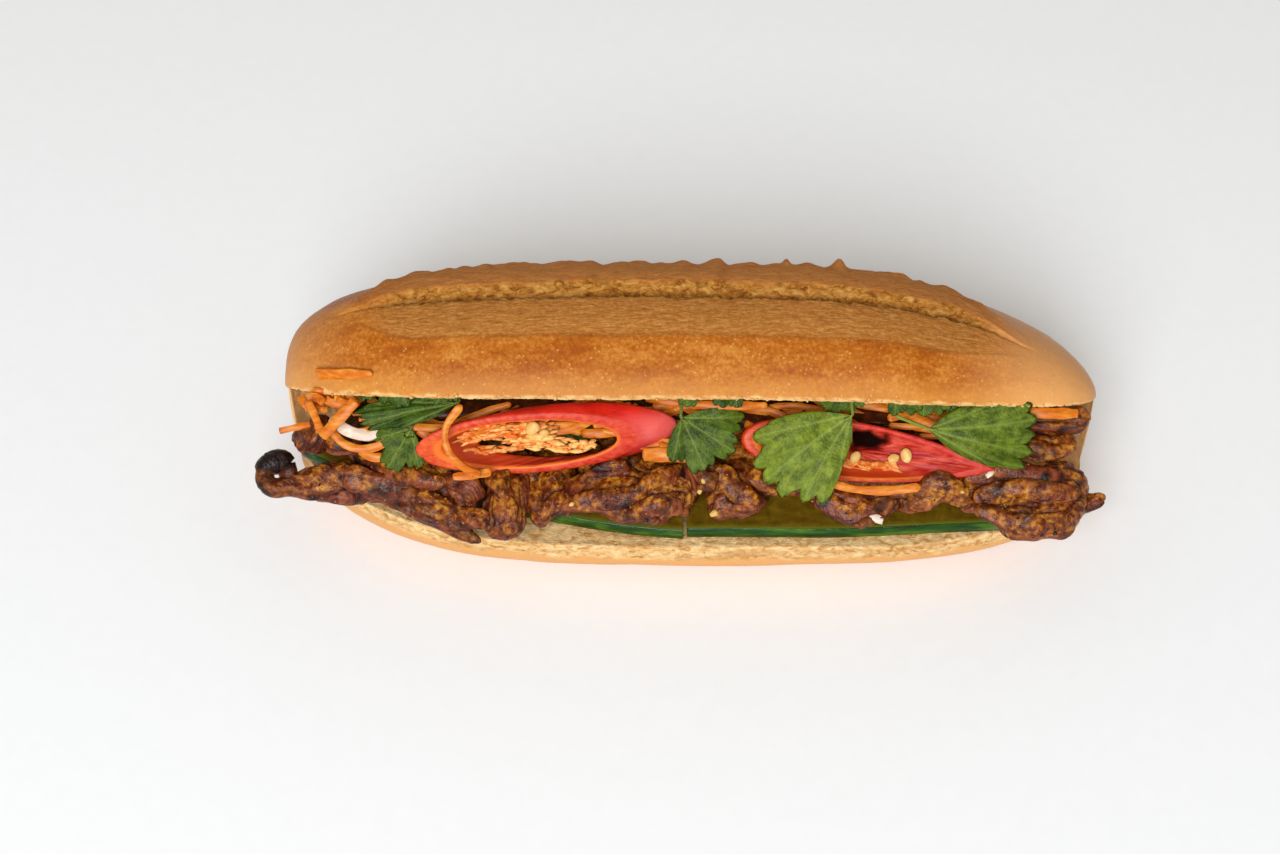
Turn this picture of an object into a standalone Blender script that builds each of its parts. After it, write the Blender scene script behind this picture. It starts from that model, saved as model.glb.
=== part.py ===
"""Banh mi sandwich: a scored bread roll, split and hinged along its back, with its filling.

Units are metres and +Z is up. X runs along the roll, the open side faces -Y, and Z is 0 on the
flat base. The origin is the middle of that base.

The roll is first worked out shut, as a loaf with a flat base and a long score, and then its top is
turned up about a hinge line inside the back crust. The filling is stacked in the wedge that opens:
cucumber on the lower crumb, meat on the cucumber, and carrot, onion, chilli and coriander on top.
"""

import math

import bmesh
import bpy
from mathutils import Vector, noise
from mathutils.bvhtree import BVHTree

MM = 0.001

# The roll, measured shut
ROLL_LENGTH = 236 * MM
ROLL_HALF_WIDTH = 36.5 * MM
CROWN_HEIGHT = 33 * MM  # from the cut to the top of the crown
UNDER_DEPTH = 24.5 * MM  # from the cut down, before the base flattens it
CUT_HEIGHT = 20.5 * MM  # of the cut over the base, at the middle of the width
CUT_TILT = 0.06  # rise of the cut per metre towards the back
SECTION_ROUNDNESS = 2.35  # superellipse power of the cross-section
TIP = 0.9985  # how far along each half the last section stands

# How the roll narrows to its left and right ends: (1 - along ** power) ** (1 / root)
BACK_TAPER = ((3.4, 2.6), (3.0, 2.4))
UPPER_FRONT_TAPER = ((3.4, 2.6), (4.0, 2.6))
LOWER_FRONT_TAPER = ((3.4, 1.15), (4.0, 2.5))
CROWN_TAPER = ((3.6, 3.0), (2.6, 1.7))
UNDER_TAPER = ((3.6, 3.6), (3.2, 3.2))

# The hinge that the roll opens on
HINGE_THICKNESS = 9 * MM
HINGE_Y = 30 * MM
HINGE_Z = 21.5 * MM
OPENING_ANGLE = math.radians(42.7)
OPENING_SAG = math.radians(4.5)  # by which the right end has sunk
LOWER_TUCK = 0.02  # by which the lower half is shorter than the upper one
HINGE_SHARE = 0.09  # share of each outer half that bends at the hinge
SHALLOWEST_POCKET = 0.8 * MM

# The score along the crown, as shares of the way from the front rim over to the back
SCORE_LOWER_LIP = 0.16  # where the smooth front crust stops
SCORE_TEAR = 0.295  # where the dough that swelled out of the score stops
SCORE_EAR = 0.355  # edge of the flap that lifted
SCORE_CREST = 0.51  # its ragged top
SCORE_CLOSED = (0.30, 0.25)  # where the lines run together at the left and right ends
SCORE_ENDS = (-0.88, 0.84)
SCORE_FADE = 0.22
TEAR_DEPTH = 2.4 * MM
EAR_LIFT = 1.9 * MM
CRUST_LIP = 0.5 * MM

# The filling, measured from the lower crumb upwards
GAP = 0.45 * MM  # kept between two pieces that touch
CUCUMBER_THICKNESS = 4.0 * MM

MATERIALS = {
    # slot: (base colour, roughness)
    "crust": ((0.60, 0.33, 0.12), 0.45),
    "cucumber": ((0.42, 0.50, 0.16), 0.35),
    "meat": ((0.16, 0.06, 0.03), 0.4),
    "chilli": ((0.72, 0.07, 0.03), 0.25),
    "carrot": ((0.85, 0.34, 0.05), 0.4),
    "onion": ((0.85, 0.80, 0.76), 0.35),
    "coriander": ((0.12, 0.30, 0.04), 0.45),
}


def make_material(slot):
    """The slot's Principled material, made once and shared."""
    if slot in bpy.data.materials:
        return bpy.data.materials[slot]
    colour, roughness = MATERIALS[slot]
    material = bpy.data.materials.new(slot)
    material.use_nodes = True
    shader = material.node_tree.nodes["Principled BSDF"]
    shader.inputs["Base Color"].default_value = (*colour, 1.0)
    shader.inputs["Roughness"].default_value = roughness
    shader.inputs["Metallic"].default_value = 0.0
    return material


def smoothstep(low, high, value):
    """0 below low, 1 above high, and smooth between."""
    share = min(1.0, max(0.0, (value - low) / (high - low)))
    return share * share * (3.0 - 2.0 * share)


def wrap_grid(columns, rows, place):
    """A closed mesh from a grid whose point (column, row) is moved to place(column, row).

    Edges of the grid that land on each other are welded, and what is left open gets a cap.
    """
    bm = bmesh.new()
    bmesh.ops.create_grid(bm, x_segments=columns, y_segments=rows, size=0.5)
    for vert in bm.verts:
        vert.co = place(round((vert.co.x + 0.5) * columns), round((vert.co.y + 0.5) * rows))
    bmesh.ops.remove_doubles(bm, verts=bm.verts, dist=1e-6)
    bmesh.ops.holes_fill(bm, edges=bm.edges, sides=0)
    bmesh.ops.recalc_face_normals(bm, faces=bm.faces)
    if bm.calc_volume(signed=True) < 0:
        bmesh.ops.reverse_faces(bm, faces=bm.faces)
    return bm


def add_node(name, slot, bm, origin=(0.0, 0.0, 0.0)):
    """The bmesh as a smooth-shaded object of that name, with its location at origin."""
    bmesh.ops.translate(bm, verts=bm.verts, vec=-Vector(origin))
    mesh = bpy.data.meshes.new(name)
    bm.to_mesh(mesh)
    bm.free()
    mesh.shade_smooth()
    mesh.set_sharp_from_angle(angle=math.radians(50))
    mesh.materials.append(make_material(slot))
    node = bpy.data.objects.new(name, mesh)
    node.location = origin
    bpy.context.scene.collection.objects.link(node)
    return node


def spline_point(points, share):
    """The point at that share of the way along a Catmull-Rom curve through points."""
    spans = len(points) - 1
    at = min(max(share, 0.0), 1.0) * spans
    i = min(int(at), spans - 1)
    f = at - i
    before, start = Vector(points[max(i - 1, 0)]), Vector(points[i])
    end, after = Vector(points[i + 1]), Vector(points[min(i + 2, spans)])
    return 0.5 * (
        2 * start
        + (end - before) * f
        + (2 * before - 5 * start + 4 * end - after) * f**2
        + (3 * start - before - 3 * end + after) * f**3
    )


def spline_value(values, share):
    """The same for a list of single numbers."""
    return spline_point([(value, 0.0, 0.0) for value in values], share).x


def mm_points(points):
    """Points written in millimetres, as vectors in metres."""
    return [Vector(point) * MM for point in points]


# The roll


def end_taper(along, taper):
    """1 at the middle of the roll, falling to 0 at its ends."""
    power, root = taper[0] if along < 0 else taper[1]
    return (1.0 - abs(along) ** power) ** (1.0 / root)


def superellipse(share):
    """(across, height) of a unit half section, share 0 at the front rim and 1 at the back."""
    angle = math.pi * share
    across, height = -math.cos(angle), math.sin(angle)
    power = 2.0 / SECTION_ROUNDNESS
    return math.copysign(abs(across) ** power, across), abs(height) ** power


def cut_height(y):
    """Height of the knife cut at that depth."""
    return CUT_HEIGHT + CUT_TILT * y


def unevenness(along, share):
    """The slow swells of a hand-shaped loaf, as a small share of its radius."""
    return 0.022 * noise.noise(Vector((along * 3.1, share * 2.7, 4.2)))


def score_strength(along):
    """1 where the score is open, 0 past its ends."""
    first, last = SCORE_ENDS
    return smoothstep(first, first + SCORE_FADE, along) * (
        1.0 - smoothstep(last - SCORE_FADE, last, along)
    )


def score_line(share, along):
    """Where a line of the score runs at that place, drawn in towards one line at its ends."""
    closed = SCORE_CLOSED[0] if along < 0 else SCORE_CLOSED[1]
    closed += (share - 0.3) * 0.25
    return closed + (share - closed) * score_strength(along)


def half_width(along, across, front_taper):
    """Reach of the roll from its middle plane, to the front or to the back."""
    taper = front_taper if across < 0 else BACK_TAPER
    return ROLL_HALF_WIDTH * end_taper(along, taper)


def under_point(along, share):
    """A point of the shut loaf under the cut, share 0 at the front rim and 1 at the back."""
    across, height = superellipse(share)
    swell = 1.0 + unevenness(along, share)
    y = across * half_width(along, across, LOWER_FRONT_TAPER) * swell
    z = cut_height(y) - height * UNDER_DEPTH * end_taper(along, UNDER_TAPER) * swell
    return Vector((along * ROLL_LENGTH / 2, y, max(z, 0.0)))


def crown_point(along, share, relief=0.0):
    """A point of the shut loaf over the cut, raised by relief from the plain loaf."""
    across, height = superellipse(share)
    swell = 1.0 + unevenness(along, -share)
    y = across * half_width(along, across, UPPER_FRONT_TAPER) * swell
    z = cut_height(y) + height * CROWN_HEIGHT * end_taper(along, CROWN_TAPER) * swell
    outward = Vector((0.0, y, z - CUT_HEIGHT)).normalized()
    return Vector((along * ROLL_LENGTH / 2, y, z)) + outward * relief


def opened(point, share):
    """The point turned up about the hinge by that share of the opening angle."""
    along = point.x / (ROLL_LENGTH / 2)
    turn = -(OPENING_ANGLE - OPENING_SAG * max(0.0, along) ** 2) * share
    y, z = point.y - HINGE_Y, point.z - HINGE_Z
    return Vector(
        (
            point.x * (1.0 - LOWER_TUCK * (1.0 - share) * along**4),
            HINGE_Y + y * math.cos(turn) - z * math.sin(turn),
            HINGE_Z + y * math.sin(turn) + z * math.cos(turn),
        )
    )


def pocket_back(along):
    """How far back the knife went at that place."""
    back = half_width(along, 1.0, LOWER_FRONT_TAPER)
    rims = [half_width(along, -1.0, taper) for taper in (UPPER_FRONT_TAPER, LOWER_FRONT_TAPER)]
    return max(back - HINGE_THICKNESS, SHALLOWEST_POCKET - min(rims))


def score_rails(along):
    """(share, relief) of the crown's points, front rim first, with the score's steps."""
    strength = score_strength(along)
    lines = (SCORE_LOWER_LIP, SCORE_TEAR, SCORE_EAR, SCORE_CREST)
    lip, tear, ear, crest = (score_line(share, along) for share in lines)
    ragged = 1.0 + 0.5 * noise.noise(Vector((along * 26.0, 0.0, 9.0)))
    groove = -TEAR_DEPTH * strength * ragged
    raised = EAR_LIFT * strength
    front = [(lip * i / 4, 0.0) for i in range(5)]
    swelled = [
        (lip + 0.012, -CRUST_LIP * strength),
        (lip + (tear - lip) * 0.5, -0.4 * CRUST_LIP * strength),
        (tear, 0.3 * CRUST_LIP * strength),
    ]
    flap = [
        (tear + (ear - tear) * 0.3, groove),
        (ear, 0.8 * raised * ragged),
        (ear + (crest - ear) * 0.5, raised),
        (crest, 1.1 * raised * ragged),
        (crest + 0.03, 0.2 * raised),
    ]
    start = crest + 0.03
    back = [(start + (1.0 - start) * i / 8, 0.0) for i in range(1, 9)]
    return front + swelled + flap + back


def roll_section(along):
    """One closed section of the opened roll, from the lower front rim all the way round."""
    points = []
    for i in range(13):
        share = i / 13
        points.append(opened(under_point(along, share), 0.5 * smoothstep(1 - HINGE_SHARE, 1, share)))
    for share, relief in reversed(score_rails(along)):
        bend = 1.0 - 0.5 * smoothstep(1 - HINGE_SHARE, 1, share)
        points.append(opened(crown_point(along, share, relief), bend))
    rim = crown_point(along, 0.0)
    back = Vector((rim.x, pocket_back(along), cut_height(pocket_back(along))))
    steps = 4
    points += [opened(rim.lerp(back, i / steps), 1.0) for i in range(1, steps)]
    points += [opened(back, 1.0 - i / 3) for i in range(4)]
    rim = under_point(along, 0.0)
    points += [opened(back.lerp(rim, i / steps), 0.0) for i in range(1, steps + 1)]
    return points


def roll_stations(count):
    """Places along the roll, drawn together towards its blunt ends."""
    return [TIP * math.sin(math.pi / 2 * (2 * i / count - 1)) for i in range(count + 1)]


def add_bread():
    """The roll, one piece of bread hinged along its back."""
    sections = [roll_section(along) for along in roll_stations(31)]
    rows = len(sections[0]) - 1
    bm = wrap_grid(len(sections) - 1, rows, lambda column, row: sections[column][row])
    add_node("bread", "crust", bm)


# The filling


def add_cucumber_slice(name, start, end, depth, inward=(0.0, 1.0)):
    """A slice cut lengthwise, lying on the lower crumb with its rounded skin in front.

    start and end are the (x, y) of the two ends of its skin, and depth runs inward from there.
    """
    thick = CUCUMBER_THICKNESS
    profile = [(0.5, 0.0), (0.0, 0.3), (0.15, 0.7), (1.0, 1.0)]
    profile += [(depth - 0.4, 1.0), (depth, 0.85), (depth, 0.15), (depth - 0.4, 0.0)]
    start, end = Vector((*start, 0.0)) * MM, Vector((*end, 0.0)) * MM
    inward = Vector((*inward, 0.0)).normalized()
    columns = 8

    def place(column, row):
        into, height = profile[row % len(profile)]
        into *= MM
        point = start.lerp(end, column / columns) + inward * into
        bow = math.sin(math.pi * column / columns) * (1.0 - into / (depth * MM))
        point -= inward * bow * 1.1 * MM
        wave = 0.25 * math.sin(point.x / (9 * MM))
        point.z = cut_height(point.y) + GAP + (wave + 0.25) * MM + height * thick
        return point

    add_node(name, "cucumber", wrap_grid(columns, len(profile), place), start)


def loft_lump(spine, lays, widths, thicknesses, seed, lumps, stations, sides, blunt):
    """A closed lumpy bar: an oval section that follows a spine, its width laid along lays."""

    def place(column, row):
        share = column / stations
        step = 0.4 / stations
        centre = spline_point(spine, share)
        ahead = (spline_point(spine, share + step) - spline_point(spine, share - step)).normalized()
        across = spline_point(lays, share).normalized()
        up = ahead.cross(across).normalized()
        closing = max((1.0 - abs(2 * share - 1) ** blunt) ** 0.5, 0.2)
        angle = 2 * math.pi * (row % sides) / sides
        flat_x = math.copysign(abs(math.cos(angle)) ** 0.8, math.cos(angle))
        flat_y = math.copysign(abs(math.sin(angle)) ** 0.8, math.sin(angle))
        half_width = spline_value(widths, share) * MM / 2 * closing
        half_height = spline_value(thicknesses, share) * MM / 2 * closing
        reach = across * flat_x * half_width + up * flat_y * half_height
        probe = (centre + reach) / (6.5 * MM) + Vector((seed * 3.7, seed * 1.3, 0.0))
        return centre + reach * (1.0 + lumps * noise.noise(probe))

    return wrap_grid(stations, sides, place)


def add_strip(name, spine, lay, widths, thicknesses, seed, slot="meat", lumps=0.25, stations=10, sides=9):
    """A strip of meat along a spine, its width square to it and laid nearest one direction."""
    spine = mm_points(spine)
    lays = []
    for i in range(17):
        ahead = (spline_point(spine, i / 16 + 0.03) - spline_point(spine, i / 16 - 0.03)).normalized()
        lays.append((Vector(lay) - ahead * Vector(lay).dot(ahead)).normalized())
    bm = loft_lump(spine, lays, widths, thicknesses, seed, lumps, stations, sides, 6)
    add_node(name, slot, bm, spine[0])


def add_slice(name, front, back, thicknesses, seed, slot="meat", lumps=0.25, stations=8, sides=12):
    """A flat slice that fills the span between a front edge and a back edge."""
    front, back = mm_points(front), mm_points(back)
    shares = [i / 8 for i in range(9)]
    fronts = [spline_point(front, share) for share in shares]
    backs = [spline_point(back, share) for share in shares]
    spine = [(near + far) / 2 for near, far in zip(fronts, backs)]
    lays = [far - near for near, far in zip(fronts, backs)]
    widths = [lay.length / MM for lay in lays]
    bm = loft_lump(spine, lays, widths, thicknesses, seed, lumps, stations, sides, 5)
    add_node(name, slot, bm, spine[0])


def add_chilli_ring(name, left, right, width, wall, thickness, facing):
    """A slanting slice of a hollow chilli, thick in the wall at its ends and thin at its sides.

    left and right are the ends of its long axis and facing is how far its face leans back, in
    degrees.
    """
    place_flat, centre, long_half = slanted_frame(left, right, facing)
    short_half, wall, thickness = width * MM / 2, wall * MM, thickness * MM
    slant = math.asin(short_half / long_half)
    shift = min(thickness / math.tan(slant), 0.3 * long_half) / 2
    long_half -= shift
    hollow = (long_half - wall / math.sin(slant), short_half - wall)
    corners = (
        # (half length, half width, depth behind the face, share of the shift)
        (long_half, short_half, 0.35 * thickness, -0.6),
        (long_half, short_half, thickness, 1.0),
        (hollow[0], hollow[1], thickness, 1.0),
        (hollow[0], hollow[1], 0.12 * thickness, -1.0),
        (hollow[0] + 0.15 * wall, hollow[1] + 0.15 * wall, 0.0, -1.0),
        (long_half - 0.5 * wall, short_half - 0.22 * wall, 0.0, -1.0),
    )
    around = 26

    def place(column, row):
        angle = 2 * math.pi * (column % around) / around
        half_x, half_y, depth, slide = corners[row % len(corners)]
        return place_flat(half_x * math.cos(angle) + shift * slide, half_y * math.sin(angle), depth)

    add_node(name, "chilli", wrap_grid(around, len(corners), place), centre)


def slanted_frame(left, right, facing):
    """(a function from (x, y, depth) on a leaning face to space, its centre, its half length)."""
    left, right = mm_points([left, right])
    along = (right - left).normalized()
    lean = Vector((0.0, -math.cos(math.radians(facing)), math.sin(math.radians(facing))))
    face = (lean - along * lean.dot(along)).normalized()
    upward = face.cross(along)
    centre = (left + right) / 2
    return (
        lambda x, y, depth: centre + along * x + upward * y - face * depth,
        centre,
        (right - left).length / 2,
    )


def add_chilli_tip(name, left, right, width, wall, depth, facing):
    """The pointed end of a chilli cut on the slant: a long shallow boat, its point to the right."""
    place_flat, centre, long_half = slanted_frame(left, right, facing)
    short_half, wall, depth = width * MM / 2, wall * MM, depth * MM
    rows = (
        # (share of the rim's outline, depth behind the face as a share), hollow first
        (0.0, 0.55), (0.45, 0.5), (0.75, 0.3), (0.9, 0.0), (0.97, 0.0), (1.0, 0.15), (0.8, 0.75),
        (0.4, 1.0), (0.0, 1.0),
    )
    around = 24

    def place(column, row):
        angle = 2 * math.pi * (column % around) / around
        reach, down = rows[row]
        x = math.cos(angle)
        y = math.sin(angle) * (0.5 - 0.5 * x) ** 0.35 * (1.0 if x < 0.9 else 0.8)
        deep = depth * down * (1.0 - 0.55 * (0.5 + 0.5 * x * reach))
        at_x = long_half * x * reach - 0.12 * (1 - reach) * long_half
        return place_flat(at_x, short_half * y * reach, deep)

    add_node(name, "chilli", wrap_grid(around, len(rows) - 1, place), centre)


def add_shred(name, spine, width, thickness, slot="carrot", lay=(0.0, 0.74, 0.67), stations=7):
    """A cut shred: a flattened bar along a smooth curve, a little thinner at both ends."""
    spine = mm_points(spine)
    sides = 6

    def place(column, row):
        share = column / stations
        step = 0.4 / stations
        ahead = (spline_point(spine, share + step) - spline_point(spine, share - step)).normalized()
        face = Vector((0.0, -0.67, 0.74))
        across = ahead.cross(face)
        across = (across if across.length > 0.2 else Vector(lay)).normalized()
        up = ahead.cross(across)
        angle = 2 * math.pi * (row % sides + 0.5) / sides
        closing = 0.5 if column in (0, stations) else 1.0
        reach = across * math.cos(angle) * width + up * math.sin(angle) * thickness
        return spline_point(spine, share) + reach * closing * MM / 2

    add_node(name, slot, wrap_grid(stations, sides, place), spine[0])


def add_leaf(name, stem, tip, facing, breadth, lobes, depth, curl, skew):
    """A coriander leaf: a thin blade with a lobed edge, spread from its stem towards its tip.

    breadth is its width as a share of its length and facing is the way its upper side looks.
    depth is how far the notches between its lobes go in, as a share of its reach.
    """
    stem, tip = mm_points([stem, tip])
    length = (tip - stem).length
    forward = (tip - stem).normalized()
    sideways = Vector(facing).cross(forward).normalized()
    upward = forward.cross(sideways)
    around = 24
    half_thick = 0.3 * MM

    def place(column, row):
        angle = 2 * math.pi * (column % around) / around - math.pi
        notch = depth * (0.5 - 0.5 * math.cos(lobes * angle))
        reach = (0.0, 0.6, 1.0, 1.0, 0.6, 0.0)[row]
        reach *= 1.0 - notch * smoothstep(-0.4, 0.4, math.cos(angle) + 0.8)
        x = 0.5 + 0.5 * math.cos(angle) * reach
        y = 0.5 * breadth * math.sin(angle) * reach * (0.75 + 0.25 * x * 2) + skew * x * (1 - x)
        rise = half_thick * (1.0 if row < 3 else -1.0)
        bend = -curl * ((x - 0.4) ** 2 + y * y) * length
        return stem + (forward * x + sideways * y) * length + upward * (rise + bend)

    add_node(name, "coriander", wrap_grid(around, 5, place), stem)


def add_cucumbers():
    """The slices on the lower crumb, skin to the front."""
    add_cucumber_slice("cucumber_slice_left_end", (-114.5, -4.5), (-78, -23.5), 14, (0.75, 0.66))
    add_cucumber_slice("cucumber_slice_left", (-52, -26), (-2.3, -34.6), 24)
    add_cucumber_slice("cucumber_slice_right", (-1.2, -34.0), (89, -31.6), 25)


def add_meats():
    """The grilled meat, from the curled tip on the left to the pointed one on the right."""
    add_strip(
        "meat_strip_curled",
        [
            (-116.6, -16.8, 31.6), (-119.3, -15.7, 32.3), (-122.2, -16.9, 31.7), (-123.4, -19.3, 30.3),
            (-122.2, -21.9, 28.9), (-119.3, -23, 28.3), (-115.8, -22, 28.6), (-108, -20.8, 28.5),
            (-101, -20.8, 28.5), (-92, -21.6, 28.5), (-84, -25, 28), (-76, -29.8, 27.2), (-68, -35.2, 26),
            (-60, -40.3, 24.6),
        ],
        (0, -0.57, 0.82),
        (4.6, 5, 4.6, 4.4, 4.4, 4.6, 5, 6, 6.5, 6, 5.5, 5, 4.5, 3),
        (4.6, 5, 4.6, 4.3, 4.3, 4.6, 5.6, 10, 12.5, 10, 8, 8, 6, 4),
        1, stations=30, sides=8, lumps=0.12,
    )
    add_slice(
        "meat_slice_left",
        [
            (-103, -15, 33), (-93, -18.5, 33.5), (-84, -22, 33.5), (-76, -26, 33), (-67, -32, 31),
            (-58, -36.5, 28.5),
        ],
        [(-102, 3, 34), (-90, 3, 35), (-80, 2, 35), (-70, 0, 35), (-62, -3, 35), (-58, -8, 35)],
        (7, 8, 9, 9, 9, 6), 2, stations=12,
    )
    add_strip(
        "meat_bite_left_end",
        [(-114, -13, 35.5), (-109, -12.5, 38.5), (-106.5, -11, 42), (-105, -9, 44)],
        (0, 0.82, 0.57), (7, 9, 7, 4), (8, 8, 6, 4), 3, stations=7, sides=8,
    )
    add_strip(
        "meat_crackling_left",
        [(-105, -14.5, 38.5), (-99.5, -15.5, 39.5), (-94, -15, 39)],
        (0, 0.82, 0.57), (6, 7, 5), (5, 5.5, 4), 4, stations=6, sides=8,
    )
    add_strip(
        "meat_fold_left",
        [(-51, -12, 33), (-51.5, -22, 34), (-52.5, -29.5, 32.8), (-53.8, -35.5, 29), (-56, -39, 25.8)],
        (1, 0, 0), (9.5, 11, 11.5, 11, 8), (6, 7.5, 8, 7, 5), 5, stations=9,
    )
    add_slice(
        "meat_bite_left",
        [(-45.6, -30, 32), (-42.6, -36.8, 29), (-38, -35.2, 29.4), (-33.3, -33.2, 30)],
        [(-45.2, -6, 32), (-42.6, -4, 32), (-38, -4, 32), (-33.5, -5, 32)],
        (9, 11, 11.5, 10), 6,
    )
    add_slice(
        "meat_fold_middle",
        [
            (-32.2, -32, 31), (-23.2, -34.6, 30.5), (-11.8, -36, 30.5), (-1.4, -34.4, 30.5),
            (2.7, -29.5, 31.5),
        ],
        [(-32.5, -3, 32.6), (-22, -2, 32.8), (-11, -2, 33.4), (-1, -2, 34), (2, -4, 34)],
        (8.5, 10.8, 12, 11, 9), 7, stations=12,
    )
    add_strip(
        "meat_crackling_middle",
        [(0.5, -24.5, 39.4), (4.5, -26, 39.2), (8.5, -24.5, 39.4)],
        (0, 0.82, 0.57), (6, 8, 6), (5, 6, 5), 8, stations=6, sides=8,
    )
    add_slice(
        "meat_bite_middle",
        [(4.2, -29.5, 31), (6, -33.3, 30), (12.6, -35.2, 30), (19.5, -32.8, 30.5), (23.5, -28, 32.5)],
        [(4.6, -6, 33.5), (8, -4, 34), (13, -3, 34), (18, -4, 34), (22, -8, 34)],
        (8, 11, 12.5, 11.5, 9), 9, stations=9,
    )
    add_slice(
        "meat_strip_right",
        [
            (30.5, -24, 32), (33.5, -29.5, 30.5), (40, -33.2, 30), (46, -34, 30), (54, -32.4, 30),
            (60, -30, 31),
        ],
        [(31, -8, 34), (35, -4, 34), (41, -3, 34), (47, -3, 34), (54, -4, 34), (59, -8, 34)],
        (6, 8, 9, 9, 8, 7), 10, stations=10,
    )
    add_slice(
        "meat_fold_right",
        [(61.5, -17, 30.5), (72, -17, 30.5), (84, -15, 30.2), (94, -10, 30), (102, -6, 30)],
        [(61.5, 6, 31), (72, 5, 31), (84, 3, 31), (94, 2, 31), (102, 1, 31)],
        (8, 9, 9, 8, 6), 11, stations=9,
    )
    add_strip(
        "meat_arch_right",
        [
            (59.5, -31, 28.5), (65, -27.5, 32), (70, -25.5, 35.5), (75, -26.5, 35), (79.8, -29, 32),
            (82.5, -31, 29),
        ],
        (0, 1, 0.2), (8, 12, 14, 14, 11, 7), (5, 6, 6, 6, 6, 5), 12, stations=11,
    )
    add_slice(
        "meat_slab_right",
        [
            (84, -33, 29), (88.5, -38.6, 27), (96, -40, 26.6), (103, -39.3, 26.8), (109.5, -36, 27.8),
            (113.5, -31, 29.5),
        ],
        [
            (84, -24, 34.5), (90, -22, 34.8), (96, -21, 34.8), (103, -20, 34.8), (109, -20, 34.5),
            (113.5, -22, 33.5),
        ],
        (6, 8, 9, 9, 8, 5), 13, stations=11,
    )
    add_strip(
        "meat_tip_right",
        [(108.5, -24, 26), (112, -26.5, 26.6), (115, -28, 28.6), (118, -28.3, 31)],
        (0, 0.9, 0.4), (9, 7, 5, 4), (3.5, 3.5, 3.5, 3), 14, stations=7, sides=8,
    )
    add_strip(
        "meat_end_right",
        [(93, -11, 46), (102, -12.5, 46.5), (108.5, -12.8, 46.5), (113.5, -12, 48)],
        (0, 0.82, 0.57), (6, 7, 6.5, 6), (6, 7, 6, 4.5), 15, stations=8, sides=8,
    )
    add_strip(
        "meat_crackling_right",
        [(91, -15.5, 41.3), (98, -17, 41.5), (104, -17, 41.5), (110, -15.5, 41)],
        (0, 0.95, 0.3), (9, 10, 10, 8), (4, 4.5, 4.5, 4), 16, stations=8, sides=8,
    )


def add_chillies():
    """The two slanting chilli slices that face the front."""
    add_chilli_ring("chilli_ring_left", (-79.5, -24.2, 45.8), (-2.5, -20.6, 49.2), 20.5, 3.3, 5, 16)
    add_chilli_tip("chilli_tip_right", (14, -20.5, 47.8), (86.5, -27, 41.3), 21, 2.6, 7, 42)


def add_onions():
    """The pale crescent of onion among the carrot on the left."""
    crescent = [(-103, -14.5, 49), (-97, -17.2, 46.6), (-91, -17.6, 46.2), (-82.5, -14.2, 48.4)]
    strip = [(-104.5, -10, 52), (-100, -10.5, 51.5), (-95, -10, 52)]
    add_shred("onion_crescent", crescent, 3.4, 2.0, slot="onion")
    add_shred("onion_strip", strip, 2.2, 1.6, slot="onion", stations=5)


def add_carrots():
    """The carrot heap behind the chillies, and the longer shreds that lie clear of it."""
    add_slice(
        "carrot_heap",
        [
            (-104, -9, 47.5), (-88, -14, 46.5), (-60, -11.5, 46.5), (-20, -10.5, 46.5), (0, -13.5, 46.5),
            (50, -14.5, 45), (90, -9, 42),
        ],
        [(-102, -1, 43), (-88, 6, 40), (-60, 7, 40), (-20, 7, 40), (0, 7, 40), (50, 7, 39), (88, 0, 39)],
        (4, 7, 7, 7, 7, 6.5, 4), 20, slot="carrot", lumps=0.15, stations=14, sides=8,
    )
    shreds = {
        # name: (width, thickness, spine)
        "carrot_shred_tip": (1.8, 1.4, [(-117.5, -16.4, 46), (-113, -15.6, 46.6), (-108.5, -14.6, 47)]),
        "carrot_shred_down": (2.2, 1.4, [(-108, -16, 58), (-106.6, -17, 53), (-105.2, -18.5, 48.5)]),
        "carrot_shred_cross": (3.0, 1.4, [(-94.5, -16.5, 59), (-99.2, -19.6, 55), (-104.5, -22.3, 50)]),
        "carrot_shred_arc": (
            2.2, 1.6,
            [
                (-103, -17, 48.5), (-99.4, -20, 45.2), (-94.4, -21.4, 44), (-89.9, -20.8, 44.2),
                (-85, -19.3, 46),
            ],
        ),
        "carrot_shred_low": (2.4, 1.6, [(-94.7, -19.4, 41), (-90.6, -21.2, 40.2), (-85.3, -20.6, 40.4)]),
        "carrot_shred_over_chilli": (
            2.2, 1.4,
            [
                (-64.5, -20.5, 61.5), (-69, -24.5, 56.5), (-68.4, -29, 52), (-64.4, -31.5, 48),
                (-59.5, -32, 45),
            ],
        ),
        "carrot_shred_flat": (2.4, 1.4, [(-67.5, -31, 43), (-62.8, -30.6, 43), (-56.6, -29, 43)]),
        "carrot_shred_middle": (
            4.0, 1.6, [(-14, -23, 43.4), (-9.5, -22.6, 43), (-3.3, -23, 42.6), (2.6, -23.4, 42)]
        ),
        "carrot_shred_rim_middle": (2.4, 1.4, [(-0.4, -15, 55.6), (10.6, -15.4, 55.6), (21.3, -15, 55.2)]),
        "carrot_shred_rim_right": (3.0, 1.8, [(95.5, -15.5, 53), (102.5, -16, 53), (109.5, -15, 52)]),
        "carrot_shred_under_chilli": (
            2.4, 1.6, [(34.5, -31.5, 43.5), (44.6, -33.2, 40.6), (54.5, -33.6, 40), (64.5, -33, 41)]
        ),
    }
    for name, (width, thickness, spine) in shreds.items():
        add_shred(name, spine, width, thickness)
    crust = [opened(crown_point(along, 0.055, 1.1 * MM), 1.0) / MM for along in (-0.9, -0.83, -0.76)]
    add_shred("carrot_shred_on_crust", crust, 4.0, 1.2)


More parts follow.
